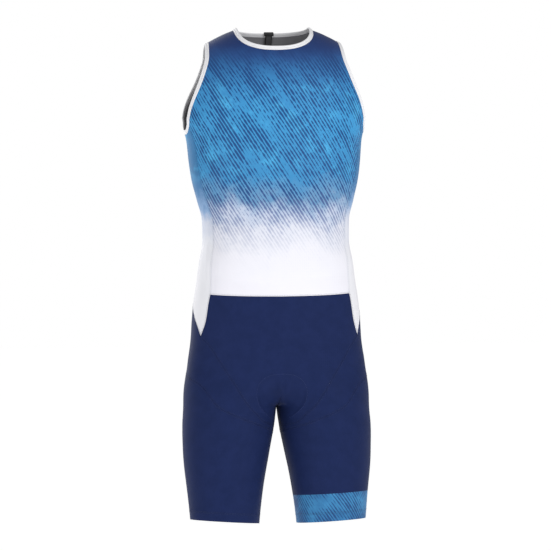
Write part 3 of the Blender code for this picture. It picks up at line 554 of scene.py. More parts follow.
CREASES = puckers() + [
    Crease(((0.150, -0.190), (0.120, -0.176), (0.090, -0.170)), -0.0014, 0.011, both=True),
    Crease(((0.146, -0.212), (0.118, -0.204), (0.098, -0.203)), 0.0010, 0.010, both=True),
    Crease(((-0.135, -0.352), (-0.100, -0.362), (-0.060, -0.366)), -0.0018, 0.012),
    Crease(((0.133, -0.360), (0.095, -0.374), (0.050, -0.380)), -0.0016, 0.012),
    Crease(((-0.128, -0.418), (-0.080, -0.408), (-0.020, -0.412)), 0.0016, 0.015),
    Crease(((-0.120, -0.455), (-0.060, -0.470), (0.010, -0.474)), -0.0017, 0.013),
    Crease(((0.125, -0.448), (0.080, -0.462), (0.030, -0.466)), -0.0016, 0.012),
    Crease(((-0.1325, -0.395), (-0.1345, -0.430), (-0.1370, -0.482)), 0.0016, 0.0055),
    Crease(((0.1325, -0.405), (0.1345, -0.440), (0.1370, -0.478)), 0.0011, 0.0055),
    Crease(((0.020, -0.350), (0.060, -0.345), (0.110, -0.335)), -0.0012, 0.013, back=True, both=True),
    Crease(((0.015, -0.395), (0.060, -0.400), (0.115, -0.385)), 0.0012, 0.013, back=True, both=True),
    Crease(((0.012, -0.432), (0.055, -0.440), (0.112, -0.430)), -0.0013, 0.012, back=True, both=True),
    Crease(((0.100, -0.120), (0.085, -0.170), (0.080, -0.220)), -0.0010, 0.012, back=True, both=True),
    Crease(((0.030, -0.640), (0.060, -0.655), (0.105, -0.652)), -0.0010, 0.013, back=True, both=True),
    Crease(((0.030, -0.712), (0.070, -0.722), (0.110, -0.712)), 0.0010, 0.012, back=True, both=True),
    Crease(((0.012, -0.676), (0.030, -0.690), (0.052, -0.712)), -0.0012, 0.008, both=True),
    Crease(((0.020, -0.655), (0.045, -0.672), (0.068, -0.700)), 0.0006, 0.009, both=True),
    Crease(((0.030, -0.760), (0.055, -0.772), (0.085, -0.778)), -0.0008, 0.010, both=True),
    Crease(((0.150, -0.820), (0.120, -0.834), (0.090, -0.838)), -0.0007, 0.012, both=True),
    Crease(((0.045, -0.835), (0.075, -0.848), (0.110, -0.850)), -0.0009, 0.012, back=True, both=True),
]
PAD_RIDGE = Crease(((0.000, -0.6405), (0.024, -0.6440), (0.041, -0.6560), (0.0480, -0.6740), (0.0465, -0.6900),
                    (0.0400, -0.7040), (0.0290, -0.7160), (0.0170, -0.7250)), 0.0017, 0.0032, both=True)
CROTCH_FILL = Crease(((0.000, -0.640), (0.000, -0.664), (0.000, -0.697)), 0.0034, 0.010)
SHORTS_CREASES = CREASES + [PAD_RIDGE, CROTCH_FILL]


# ---------------------------------------------------------------- shared making
def uneven_push(points: Sequence[np.ndarray]) -> np.ndarray:
    """Slow unevenness of worn cloth at each point."""
    return np.array([UNEVEN_HEIGHT * noise.noise(Vector(point) * UNEVEN_SCALE) for point in points])


def open_edges(faces: Sequence[Sequence[int]]) -> list[tuple[int, int]]:
    """Edges that belong to one face only, from start to end."""
    edges = {(start, face[(k + 1) % len(face)]) for face in faces for k, start in enumerate(face)}
    return [(start, end) for start, end in edges if (end, start) not in edges]


def shell(outer: np.ndarray, inner: np.ndarray, faces: Sequence[list[int]]
          ) -> tuple[np.ndarray, list[list[int]]]:
    """Closed body between two layers of points that have the same faces."""
    count = len(outer)
    body = list(faces) + [[v + count for v in reversed(face)] for face in faces]
    body += [[end, start, start + count, end + count] for start, end in open_edges(faces)]
    return np.concatenate((outer, inner)), body


def make_object(name: str, vertices: np.ndarray, faces: Sequence[Sequence[int]],
                materials: Sequence[bpy.types.Material], sharp: float = 50) -> bpy.types.Object:
    """Blender object of a mesh, smoothly shaded.

    Args:
        name: the piece's name.
        vertices: its points.
        faces: its faces.
        materials: its finishes.
        sharp: the angle in degrees past which an edge stays sharp.

    Returns:
        The new object, in the scene.
    """
    mesh = bpy.data.meshes.new(name)
    mesh.from_pydata([tuple(map(float, vertex)) for vertex in vertices], [], [list(face) for face in faces])
    mesh.validate()
    mesh.update()
    mesh.shade_smooth()
    mesh.set_sharp_from_angle(angle=math.radians(sharp))
    for material in materials:
        mesh.materials.append(material)
    return link_object(name, mesh)


def link_object(name: str, data: bpy.types.ID) -> bpy.types.Object:
    """Object of some data, in the scene."""
    item = bpy.data.objects.new(name, data)
    bpy.context.scene.collection.objects.link(item)
    return item


def ring_bar(name: str, rings: Sequence[tuple[float, float]], radius: float, length: float, axis: int,
             sides: int) -> bpy.types.Object:
    """Small round bar that is kept out of the scene, to be repeated.

    Args:
        name: its name.
        rings: the place along it and the share of its radius at each ring.
        radius: its largest radius.
        length: what a place along it is multiplied by.
        axis: the axis it lies along, 1 or 2.
        sides: the number of its sides.

    Returns:
        The bar.
    """
    vertices, faces = [], []
    for share, wide in rings:
        for k in range(sides):
            angle = 2 * math.pi * k / sides
            place = [radius * wide * math.cos(angle), radius * wide * math.sin(angle)]
            place.insert(axis, share * length)
            vertices.append(place)
    for ring in range(len(rings) - 1):
        for k in range(sides):
            a, b = ring * sides + k, ring * sides + (k + 1) % sides
            faces.append([a, b, b + sides, a + sides])
    faces.append(list(range(sides))[::-1])
    faces.append([(len(rings) - 1) * sides + k for k in range(sides)])
    item = make_object(name, np.array(vertices), faces, ())
    bpy.context.scene.collection.objects.unlink(item)
    return item


def declare(item: bpy.types.Object, slot: str, node: str = "", body: str = "suit") -> bpy.types.Object:
    """Says what a piece rides on and which solid it stands for.

    Args:
        item: the piece.
        slot: its material slot; not used.
        node: the solid it stands for, if any.
        body: the body it rides on.

    Returns:
        The piece.
    """
    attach(item, body)
    if node:
        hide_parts(node)
    LOG.info("%s: %d faces", item.name, len(item.data.polygons))
    return item


# ---------------------------------------------------------------- cloth
class PrintMap:
    """How far round the body a place lies, measured along the cloth from the centre front or back."""

    def __init__(self, back: bool) -> None:
        """Measures the rings of the trunk.

        Args:
            back: whether the way starts at the centre back.
        """
        self.levels = np.linspace(-0.66, CHEST_LINE, 50)
        self.turns = np.linspace(0, 1, 121)
        rows = []
        for level in self.levels:
            ring = np.array([FORM.trunk(float(turn), float(level)) for turn in self.turns])
            way = np.concatenate(([0.0], np.cumsum(np.linalg.norm(np.diff(ring, axis=0), axis=1))))
            rows.append(way[-1] - way if back else way)
        self.rows = np.array(rows)

    def across(self, row: np.ndarray) -> np.ndarray:
        """Ways of a row of places."""
        place = np.interp(row[:, 1], self.levels, np.arange(len(self.levels)))
        low = np.minimum(place.astype(int), len(self.levels) - 2)
        ways = [np.interp(turn, self.turns, self.rows[k] * (1 - t) + self.rows[k + 1] * t)
                for turn, k, t in zip(row[:, 0], low, place - low)]
        return np.array(ways)


class Sheet:
    """Points, outward directions, print places and faces of cloth with no thickness yet."""

    def __init__(self) -> None:
        """Starts empty."""
        self.points: list[np.ndarray] = []
        self.normals: list[np.ndarray] = []
        self.prints: list[tuple[float, float]] = []
        self.faces: list[list[int]] = []
        self.places: dict[tuple, int] = {}

    def vertex(self, turn: float, level: float, side: np.ndarray, across: float) -> int:
        """Index of a place's point, shared where it already exists on the same half of the ring."""
        point = FORM.point(turn, level) * side
        key = (turn < 0.5, *(int(round(value * 1e6)) for value in point))
        if key not in self.places:
            self.places[key] = len(self.points)
            self.points.append(point)
            self.normals.append(FORM.normal(turn, level) * side)
            self.prints.append((across * float(side[0]), float(point[2])))
        return self.places[key]

    def add_grid(self, grid: np.ndarray, mirror: bool, closed: bool, measure: PrintMap | None) -> None:
        """Adds the faces of a table of places.

        Args:
            grid: rows and columns of places.
            mirror: whether it goes on the wearer's right.
            closed: whether each row closes into a ring.
            measure: how the print's places are measured, or None for along each row.
        """
        side = MIRRORED if mirror else PLAIN
        index = []
        for row in grid:
            points = np.array([FORM.point(*place) for place in row])
            if measure:
                way = measure.across(np.array(row))
            else:
                way = np.concatenate(([0.0], np.cumsum(np.linalg.norm(np.diff(points, axis=0), axis=1))))
            index.append([self.vertex(place[0], place[1], side, across) for place, across in zip(row, way)])
        rows, columns = grid.shape[0] - 1, grid.shape[1] - 1
        for j in range(rows):
            for i in range(columns):
                last = 0 if closed and i == columns - 1 else i + 1
                face = [index[j][i], index[j][last], index[j + 1][last], index[j + 1][i]]
                face = [v for k, v in enumerate(face) if v != face[k - 1]]
                if len(set(face)) > 2:
                    self.faces.append(face[::-1] if mirror else face)

    def draw_in(self, distance: float) -> None:
        """Moves the rim inwards along the cloth, so that sewn neighbours stay apart."""
        following = dict(open_edges(self.faces))
        previous = {end: start for start, end in following.items()}
        moves = {}
        for vertex, after in following.items():
            sides = []
            for start, end in ((previous[vertex], vertex), (vertex, after)):
                sides.append(unit(np.cross(self.normals[vertex], self.points[end] - self.points[start])))
            moves[vertex] = distance * (sides[0] + sides[1]) / max(1 + float(np.dot(*sides)), 0.4)
        for vertex, move in moves.items():
            self.points[vertex] = self.points[vertex] + move

    def area(self) -> float:
        """Area of the cloth in square metres."""
        total = 0.0
        for face in self.faces:
            origin = self.points[face[0]]
            for k in range(1, len(face) - 1):
                total += float(np.linalg.norm(np.cross(self.points[face[k]] - origin,
                                                       self.points[face[k + 1]] - origin))) / 2
        return total


@dataclass
class ClothPanel:
    """One cut piece of knitted cloth on the worn form."""

    name: str
    node: str
    slot: str
    parts: tuple[tuple[str, bool], ...]
    cut: tuple[float, float]
    closed: bool = False
    measure: PrintMap | None = None
    creases: list[Crease] = field(default_factory=lambda: list(CREASES))
    thickness: float = 0.0009
    draw: float = 0.00012
    edging: tuple[bpy.types.Object, ...] = ()

    def build(self, pattern: Pattern, face: bpy.types.Material, inside: bpy.types.Material) -> bpy.types.Object:
        """Args:
            pattern: the suit's pattern.
            face: the finish of the outside and the edges.
            inside: the finish of the cloth's other side.

        Returns:
            The finished piece.
        """
        sheet = Sheet()
        for grid, mirror in self.parts:
            sheet.add_grid(pattern.grids[grid], mirror, self.closed, self.measure)
        area = sheet.area()
        sheet.draw_in(self.draw)
        points, normals = np.array(sheet.points), np.array(sheet.normals)
        push = np.zeros(len(points))
        for crease in self.creases:
            push += crease.push(points)
        push += uneven_push(points)
        vertices, faces = shell(points + normals * push[:, None],
                                points + normals * (push - self.thickness)[:, None], sheet.faces)
        item = make_object(self.name, vertices, faces, (face, inside))
        mesh = item.data
        layer = mesh.uv_layers.new(name="print")
        outer, prints = len(sheet.faces), sheet.prints + sheet.prints
        for polygon in mesh.polygons:
            if outer <= polygon.index < 2 * outer:
                polygon.material_index = 1
            for loop in polygon.loop_indices:
                layer.data[loop].uv = prints[mesh.loops[loop].vertex_index]
        declare(item, self.slot, self.node)
        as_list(self.edging)
        LOG.info("%s: %.4f m2 worn", self.name, area)
        return item


# ---------------------------------------------------------------- shader helpers
Input = "float | tuple | Value"


class Value:
    """A shader socket that can be used in Python expressions."""

    def __init__(self, tree: "Tree", socket: bpy.types.NodeSocket) -> None:
        """Keeps the socket and the tree it belongs to."""
        self.tree, self.socket = tree, socket

    def math(self, operation: str, *others: "Input") -> "Value":
        """Math node on this value."""
        return self.tree.node("ShaderNodeMath", {"operation": operation}, [self, *others])

    __add__ = __radd__ = partialmethod(math, "ADD")
    __sub__ = partialmethod(math, "SUBTRACT")
    __mul__ = __rmul__ = partialmethod(math, "MULTIPLY")
    __truediv__ = partialmethod(math, "DIVIDE")

    def __rsub__(self, other: float) -> "Value":
        """Difference from a number."""
        return self.tree.node("ShaderNodeMath", {"operation": "SUBTRACT"}, [other, self])

    def step(self, low: float, high: float) -> "Value":
        """Smooth step between two limits."""
        return self.tree.node("ShaderNodeMapRange", {"interpolation_type": "SMOOTHSTEP"},
                              {"Value": self, "From Min": low, "From Max": high})


class Tree:
    """A material's node tree with one shader."""

    def __init__(self, name: str) -> None:
        """Makes the material."""
        self.material = bpy.data.materials.new(name)
        self.material.use_nodes = True
        self.nodes = self.material.node_tree.nodes
        self.links = self.material.node_tree.links
        self.shader = self.nodes["Principled BSDF"]

    def node(self, kind: str, settings: dict | None = None, inputs: "list | dict | None" = None,
             output: int | str = 0) -> Value:
        """Any node.

        Args:
            kind: the node's type.
            settings: its settings, such as a Math node's operation or a ramp's stops.
            inputs: values or links of its sockets, by number or by name.
            output: the socket that is handed back.

        Returns:
            The chosen output as a value.
        """
        made = self.nodes.new(kind)
        for key, value in (settings or {}).items():
            if key == "stops":
                ramp = made.color_ramp
                while len(ramp.elements) < len(value):
                    ramp.elements.new(0.5)
                for element, (place, colour) in zip(ramp.elements, value):
                    element.position = place
                    element.color = (*colour, 1.0)
            else:
                setattr(made, key, value)
        pairs = inputs.items() if isinstance(inputs, dict) else enumerate(inputs or [])
        for key, value in pairs:
            self.set(made.inputs[key], value)
        return Value(self, made.outputs[output])

    def set(self, socket: bpy.types.NodeSocket, value: "Input") -> None:
        """Links a value to a socket or writes a constant on it."""
        if isinstance(value, Value):
            self.links.new(value.socket, socket)
        elif isinstance(value, tuple) and len(value) == 3 and socket.type == "RGBA":
            socket.default_value = (*value, 1.0)
        else:
            socket.default_value = value

    def mix(self, share: "Input", low: "Input", high: "Input") -> Value:
        """Mix of two colours."""
        made = self.nodes.new("ShaderNodeMix")
        made.data_type = "RGBA"
        for socket, value in ((made.inputs["Factor"], share), (made.inputs[6], low), (made.inputs[7], high)):
            self.set(socket, value)
        return Value(self, made.outputs[2])

    def part(self, vector: Value, axis: int) -> Value:
        """One coordinate of a vector."""
        return self.node("ShaderNodeSeparateXYZ", {}, [vector], axis)

    def noise(self, vector: Value, scale: float, detail: float = 2.0, roughness: float = 0.5) -> Value:
        """Noise from 0 to 1."""
        return self.node("ShaderNodeTexNoise", {"noise_dimensions": "3D"},
                         {"Vector": vector, "Scale": scale, "Detail": detail, "Roughness": roughness})

    def finish(self, colour: "Input", roughness: "Input", height: "Value | None" = None,
               distance: float = 0.0002, strength: float = 0.35, **constants: float) -> bpy.types.Material:
        """Connects the shader.

        Args:
            colour: the base colour.
            roughness: the roughness.
            height: what raises the surface.
            distance: how far it raises it.
            strength: the bump's strength.
            constants: numbers that are the same all over.

        Returns:
            The material.
        """
        self.set(self.shader.inputs["Base Color"], colour)
        self.set(self.shader.inputs["Roughness"], roughness)
        for name, value in constants.items():
            self.shader.inputs[name.replace("_", " ")].default_value = value
        if height is not None:
            bump = self.node("ShaderNodeBump", {},
                             {"Height": height, "Distance": distance, "Strength": strength})
            self.set(self.shader.inputs["Normal"], bump)
        return self.material


def tone(red: int, green: int, blue: int) -> tuple[float, float, float]:
    """Linear surface colour that looks like a screen colour under the studio's light."""
    def linear(value: float) -> float:
        """One channel."""
        value /= 255
        return REFLECTS * (value / 12.92 if value <= 0.04045 else ((value + 0.055) / 1.055) ** 2.4)
    return linear(red), linear(green), linear(blue)


class Weave(Enum):
    """How the knit's loops run."""

    FINE = 1500.0
    COARSE = 900.0


class KnitTree(Tree):
    """Tree of a knitted cloth, with its print place and its loops."""

    def __init__(self, name: str, weave: Weave) -> None:
        """Reads the cloth's print place."""
        super().__init__(name)
        self.place = self.node("ShaderNodeUVMap", {"uv_map": "print"})
        self.across, self.up = self.part(self.place, 0), self.part(self.place, 1)
        self.weave = weave

    def loops(self) -> Value:
        """Height of the knit's columns of loops."""
        columns = (self.across * self.weave.value).math("SINE")
        rows = (self.up * (self.weave.value * 0.8) + columns * 0.8).math("SINE")
        return columns * 0.5 + rows * 0.4


@dataclass(frozen=True)
class Stripes:
    """Broken slanting lines of a print."""

    slant: float
    period: float
    wander: float
    breaks: float
    roughness: float

    def lay(self, tree: KnitTree) -> tuple[Value, Value, Value, Value]:
        """Adds the lines' nodes.

        Args:
            tree: the cloth's tree.

        Returns:
            The way along a line, the line's number, the distance from its edge and where it breaks.
        """
        angle = math.radians(self.slant)
        across_lines = tree.across * math.sin(angle) + tree.up * math.cos(angle)
        along = tree.across * math.cos(angle) - tree.up * math.sin(angle)
        count = (across_lines + (tree.noise(tree.place, 60.0) - 0.5) * self.wander) / self.period
        number = count.math("FLOOR")
        saw = (count.math("FRACT") - 0.5).math("ABSOLUTE")
        spot = tree.node("ShaderNodeCombineXYZ", {}, [along * self.breaks, number * 7.31, number * 3.7])
        return along, number, saw, tree.noise(spot, 1.0, 2.0, self.roughness)


@dataclass(frozen=True)
class PrintedKnit:
    """Sky-blue print that fades from a dark yoke to a pale waist, with broken slanting lines."""

    name: str = "printed_knit_finish"
    lines: float = 1.0
    stripes: Stripes = Stripes(slant=57.0, period=0.0058, wander=0.0008, breaks=110.0, roughness=0.6)

    def make(self) -> bpy.types.Material:
        """Builds the material."""
        tree = KnitTree(self.name, Weave.FINE)
        up = tree.up
        cloud = tree.noise(tree.place, 13.0, 4.0, 0.62)
        blotch = tree.noise(tree.place, 46.0, 4.0, 0.68)
        calm = 1.0 - up.step(-0.12, -0.06) * 0.6
        height = up + ((cloud - 0.5) * 0.085 + (blotch - 0.5) * 0.045) * calm
        share = (height + 0.50) / 0.50
        ground = tree.node("ShaderNodeValToRGB", {"stops": self.ground_stops()}, [share])
        deep = tree.node("ShaderNodeValToRGB", {"stops": self.line_stops()}, [share])
        along, number, saw, broken = self.stripes.lay(tree)
        wide = tree.node("ShaderNodeCombineXYZ", {}, [along * 12.0, number * 0.42, number * 0.11])
        region = tree.noise(wide, 1.0, 3.0, 0.6)
        grain = tree.noise(tree.place, 520.0, 2.0, 0.7)
        half = 0.20 + (region - 0.5) * 1.15 + (broken - 0.5) * 0.75 + (grain - 0.5) * 0.16
        edge = half.math("MINIMUM", 0.36) - saw
        line = edge.step(-0.03, 0.05)
        fade = height.step(-0.450, -0.330) * (1.0 - up.step(-0.075, -0.020) * 0.85)
        line = line * fade * self.lines
        colour = tree.mix(line, ground, deep)
        glow = tree.noise(tree.place, 24.0, 3.0, 0.62).step(0.50, 0.70) * up.step(-0.30, -0.24) \
            * (1.0 - up.step(-0.14, -0.07))
        colour = tree.mix(glow * 0.7 * (1.0 - line * 0.7), colour, tone(82, 180, 232))
        return tree.finish(colour, 0.56, tree.loops(), LOOP_HEIGHT, Sheen_Weight=0.04, Sheen_Roughness=0.4,
                           Specular_IOR_Level=0.12)

    def ground_stops(self) -> list[tuple[float, tuple[float, float, float]]]:
        """Colour between the lines, from the waist up to the shoulder."""
        return [(0.00, tone(240, 239, 247)), (0.17, tone(236, 236, 244)), (0.255, tone(222, 225, 237)),
                (0.315, tone(184, 198, 222)), (0.375, tone(108, 152, 192)), (0.46, tone(64, 142, 196)),
                (0.66, tone(64, 152, 208)), (0.78, tone(60, 140, 198)), (0.86, tone(50, 110, 168)),
                (0.905, tone(42, 80, 138)), (0.94, tone(35, 60, 114)), (1.00, tone(29, 46, 94))]

    def line_stops(self) -> list[tuple[float, tuple[float, float, float]]]:
        """Colour of the lines."""
        return [(0.00, tone(232, 232, 241)), (0.15, tone(222, 222, 233)), (0.21, tone(196, 200, 218)),
                (0.27, tone(158, 166, 196)), (0.33, tone(104, 122, 166)), (0.40, tone(42, 80, 134)),
                (0.70, tone(30, 78, 134)), (0.85, tone(34, 74, 130)), (1.00, tone(29, 45, 93))]


@dataclass(frozen=True)
class SideKnit(PrintedKnit):
    """The same print on the side panels: blotches and no lines."""

    name: str = "side_knit_finish"
    lines: float = 0.10

    def ground_stops(self) -> list[tuple[float, tuple[float, float, float]]]:
        """Muted blues that fade to pale grey."""
        return [(0.00, tone(238, 238, 243)), (0.20, tone(236, 237, 244)), (0.28, tone(212, 218, 234)),
                (0.345, tone(140, 172, 212)), (0.41, tone(74, 128, 178)), (0.50, tone(54, 118, 168)),
                (0.68, tone(58, 130, 184)), (1.00, tone(40, 70, 130))]


@dataclass(frozen=True)
class NavyKnit:
    """Plain navy knit."""

    name: str = "navy_knit_finish"
    colour: tuple[float, float, float] = tone(28, 41, 84)
    deep: tuple[float, float, float] = tone(25, 38, 79)

    def make(self) -> bpy.types.Material:
        """Builds the material."""
        tree = KnitTree(self.name, Weave.FINE)
        uneven = tree.noise(tree.place, 40.0, 3.0, 0.6)
        colour = tree.mix(uneven.step(0.3, 0.7), self.deep, self.colour)
        return tree.finish(colour, 0.62, tree.loops(), LOOP_HEIGHT, Sheen_Weight=0.02, Sheen_Roughness=0.4,
                           Specular_IOR_Level=0.06)


@dataclass(frozen=True)
class BandKnit:
    """Blue hem band with the same broken lines, laid the same way."""

    name: str = "band_knit_finish"
    stripes: Stripes = Stripes(slant=62.0, period=0.0056, wander=0.001, breaks=90.0, roughness=0.55)

    def make(self) -> bpy.types.Material:
        """Builds the material."""
        tree = KnitTree(self.name, Weave.FINE)
        _, _, saw, broken = self.stripes.lay(tree)
        region = tree.noise(tree.place, 22.0, 2.0, 0.5)
        half = (region - 0.32) * 1.3 + (broken - 0.5) * 0.55
        line = (half - saw).step(-0.03, 0.05)
        cloud = tree.noise(tree.place, 30.0, 3.0).step(0.35, 0.65)
        ground = tree.mix(cloud, tone(50, 112, 164), tone(64, 136, 188))
        colour = tree.mix(line * 0.9, ground, tone(36, 72, 124))
        return tree.finish(colour, 0.58, tree.loops(), LOOP_HEIGHT, Sheen_Weight=0.03,
                           Specular_IOR_Level=0.12)


@dataclass(frozen=True)
class InsideKnit:
    """The cloth's unprinted other side."""

    name: str
    colour: tuple[float, float, float]

    def make(self) -> bpy.types.Material:
        """Builds the material."""
        tree = KnitTree(self.name, Weave.COARSE)
        uneven = tree.noise(tree.place, 60.0, 3.0, 0.6)
        pale = tuple(value * 1.15 for value in self.colour)
        colour = tree.mix(uneven, self.colour, pale)
        return tree.finish(colour, 0.85, tree.loops(), 0.00015, 0.4, Specular_IOR_Level=0.15)


@dataclass(frozen=True)
class TapeFinish:
    """Finish of a small piece with no print: tape, thread, pad or metal."""

    name: str
    colour: tuple[float, float, float]
    roughness: float = 0.7
    metallic: float = 0.0
    ribs: float = 0.0
    grain: float = 900.0
    variation: float = 0.06

    def make(self) -> bpy.types.Material:
        """Builds the material."""
        tree = Tree(self.name)
        place = tree.node("ShaderNodeTexCoord", {}, [], "Object")
        uneven = tree.noise(place, 70.0, 3.0, 0.6)
        darker = tuple(value * (1 - 2 * self.variation) for value in self.colour)
        colour = tree.mix(uneven, darker, self.colour)
        height = tree.noise(place, self.grain, 2.0, 0.6)
        if self.ribs:
            height = height * 0.4 + (tree.part(place, 2) * self.ribs).math("SINE") * 0.5
        roughness = uneven * 0.12 + (self.roughness - 0.06)
        return tree.finish(colour, roughness, height, THREAD_HEIGHT, Metallic=self.metallic)


@dataclass(frozen=True)
class SeamThread:
    """Thread of the side seams, which follows the print from blue down to pale."""

    name: str = "side_seam_thread"

    def make(self) -> bpy.types.Material:
        """Builds the material."""
        tree = Tree(self.name)
        place = tree.node("ShaderNodeTexCoord", {}, [], "Object")
        up = tree.part(place, 2)
        colour = tree.mix(up.step(-0.400, -0.345), tone(212, 216, 228), tone(58, 124, 178))
        colour = tree.mix(up.step(-0.120, -0.040), colour, tone(36, 62, 118))
        return tree.finish(colour, 0.7, tree.noise(place, 2500.0), THREAD_HEIGHT)


# ---------------------------------------------------------------- edge tape
@dataclass
class EdgeTape:
    """Folded elastic tape that binds the neck and the armholes, with two soft ridges."""

    name: str
    node: str
    sharp: float = 65
    profile: tuple[tuple[float, float], ...] = (
        (0.00025, -0.0013), (0.00025, 0.0002), (0.0010, 0.0008), (0.0022, 0.0011), (0.0034, 0.0009),
        (0.0043, 0.0003), (0.0052, 0.0009), (0.0064, 0.0011), (0.0076, 0.0008), (0.0084, 0.0000),
        (0.0086, -0.0007), (0.0082, -0.0014), (0.0064, -0.0020), (0.0043, -0.0014), (0.0022, -0.0020))

    def frames(self, places: Run, sides: Sequence[np.ndarray], closed: bool, lift: float) -> list[tuple]:
        """Frames along the edge, whose width direction points off the cloth into the opening."""
        points = [FORM.point(*place) * side for place, side in zip(places, sides)]
        normals = [FORM.normal(*place) * side for place, side in zip(places, sides)]
        last = len(points) - 1
        found = []
        for k, (point, normal) in enumerate(zip(points, normals)):
            before = points[k - 1] if closed or k > 0 else points[k]
            after = points[(k + 1) % len(points)] if closed or k < last else points[k]
            run = unit(after - before)
            wide = unit(np.cross(run, normal)) + lift * np.array((0.0, 0.0, 1.0))
            wide = unit(wide - run * float(np.dot(wide, run)))
            found.append((point, wide, np.cross(wide, run)))
        return found

    def build(self, frames: Sequence[tuple], closed: bool, finish: bpy.types.Material) -> bpy.types.Object:
        """Sweeps the tape's section along the frames."""
        vertices, faces = sweep(frames, self.profile, closed)
        return declare(make_object(self.name, vertices, faces, (finish,), self.sharp), "white_tape", self.node)


def sweep(frames: Sequence[tuple], profile: Sequence[tuple[float, float]], closed: bool
          ) -> tuple[np.ndarray, list[list[int]]]:
    """Closed body swept along frames of point, width direction and thickness direction, faces outwards."""
    count, stations = len(profile), len(frames)
    vertices = np.array([point + wide * m + thick * n for point, wide, thick in frames for m, n in profile])
    faces = []
    for k in range(stations if closed else stations - 1):
        start, end = k * count, ((k + 1) % stations) * count
        for i in range(count):
            j = (i + 1) % count
            faces.append([start + i, start + j, end + j, end + i])
    if not closed:
        faces.append(list(range(count))[::-1])
        faces.append([(stations - 1) * count + i for i in range(count)])
    volume = 0.0
    for face in faces:
        for k in range(1, len(face) - 1):
            a, b, c = vertices[face[0]], vertices[face[k]], vertices[face[k + 1]]
            volume += float(np.dot(a, np.cross(b, c)))
    return vertices, (faces if volume > 0 else [face[::-1] for face in faces])


# ---------------------------------------------------------------- repeated pieces
class RepeatTree:
    """Geometry Nodes tree that sets one small shape at even steps along curves."""

    NODES = {
        "start": "NodeGroupInput", "points": "GeometryNodeCurveToPoints", "shape": "GeometryNodeObjectInfo",
        "place": "GeometryNodeInstanceOnPoints", "real": "GeometryNodeRealizeInstances",
        "paint": "GeometryNodeSetMaterial", "end": "NodeGroupOutput",
    }
    LINKS = (
        ("start", "Geometry", "points", "Curve"), ("start", "Step", "points", "Length"),
        ("start", "Shape", "shape", "Object"), ("points", "Points", "place", "Points"),
        ("shape", "Geometry", "place", "Instance"), ("points", "Rotation", "place", "Rotation"),
        ("place", "Instances", "real", "Geometry"), ("real", "Geometry", "paint", "Geometry"),
        ("start", "Finish", "paint", "Material"), ("paint", "Geometry", "end", "Geometry"),
    )

    def __init__(self, name: str) -> None:
        """Builds the tree."""
        tree = bpy.data.node_groups.new(name, "GeometryNodeTree")
        tree.is_modifier = True
        face = tree.interface
        face.new_socket("Geometry", in_out="INPUT", socket_type="NodeSocketGeometry")
        self.sockets = {}
        for label, kind in (("Shape", "NodeSocketObject"), ("Step", "NodeSocketFloat"),
                            ("Finish", "NodeSocketMaterial")):
            self.sockets[label] = face.new_socket(label, in_out="INPUT", socket_type=kind).identifier
        face.new_socket("Geometry", in_out="OUTPUT", socket_type="NodeSocketGeometry")
        made = {name: tree.nodes.new(kind) for name, kind in self.NODES.items()}
        made["points"].mode = "LENGTH"
        for source, output, target, entry in self.LINKS:
            tree.links.new(made[source].outputs[output], made[target].inputs[entry])
        self.tree = tree

    def run(self, name: str, lines: Sequence[np.ndarray], shape: bpy.types.Object, step: float,
            finish: bpy.types.Material) -> bpy.types.Object:
        """Sets the shape along the lines and returns the result as a plain mesh.

        Args:
            name: the piece's name.
            lines: the curves' points.
            shape: the small shape, along Z.
            step: the way from one to the next.
            finish: its material.

        Returns:
            The new object.
        """
        curve = bpy.data.curves.new(name + "_line", "CURVE")
        curve.dimensions = "3D"
        for line in lines:
            spline = curve.splines.new("POLY")
            spline.points.add(len(line) - 1)
            for place, point in zip(spline.points, line):
                place.co = (*map(float, point), 1.0)
        carrier = link_object(name + "_carrier", curve)
        modifier = carrier.modifiers.new("repeat", "NODES")
        modifier.node_group = self.tree
        for label, value in (("Shape", shape), ("Step", step), ("Finish", finish)):
            modifier[self.sockets[label]] = value
        graph = bpy.context.evaluated_depsgraph_get()
        mesh = bpy.data.meshes.new_from_object(carrier.evaluated_get(graph))
        mesh.name = name
        mesh.shade_smooth()
        bpy.data.objects.remove(carrier, do_unlink=True)
        return link_object(name, mesh)


@dataclass
class SeamRow:
    """A sewn seam: two rows of stitches on either side of it."""

    run: Run
    side: np.ndarray
    offsets: tuple[float, ...] = (-0.0019, 0.0019)
    lift: float = 0.00022

    def lines(self, creases: Sequence[Crease]) -> list[np.ndarray]:
        """The rows' points, which lie on the creased cloth."""
        points = np.array([FORM.point(*place) * self.side for place in self.run])
        normals = np.array([FORM.normal(*place) * self.side for place in self.run])
        ways = np.gradient(points, axis=0)
        wide = np.cross(ways, normals)
        wide /= np.maximum(np.linalg.norm(wide, axis=1), 1e-9)[:, None]
        found = []
        for offset in self.offsets:
            row = points + wide * offset
            push = sum((crease.push(row) for crease in creases), np.zeros(len(row))) + uneven_push(row)
            found.append(row + normals * (push + self.lift)[:, None])
        return found


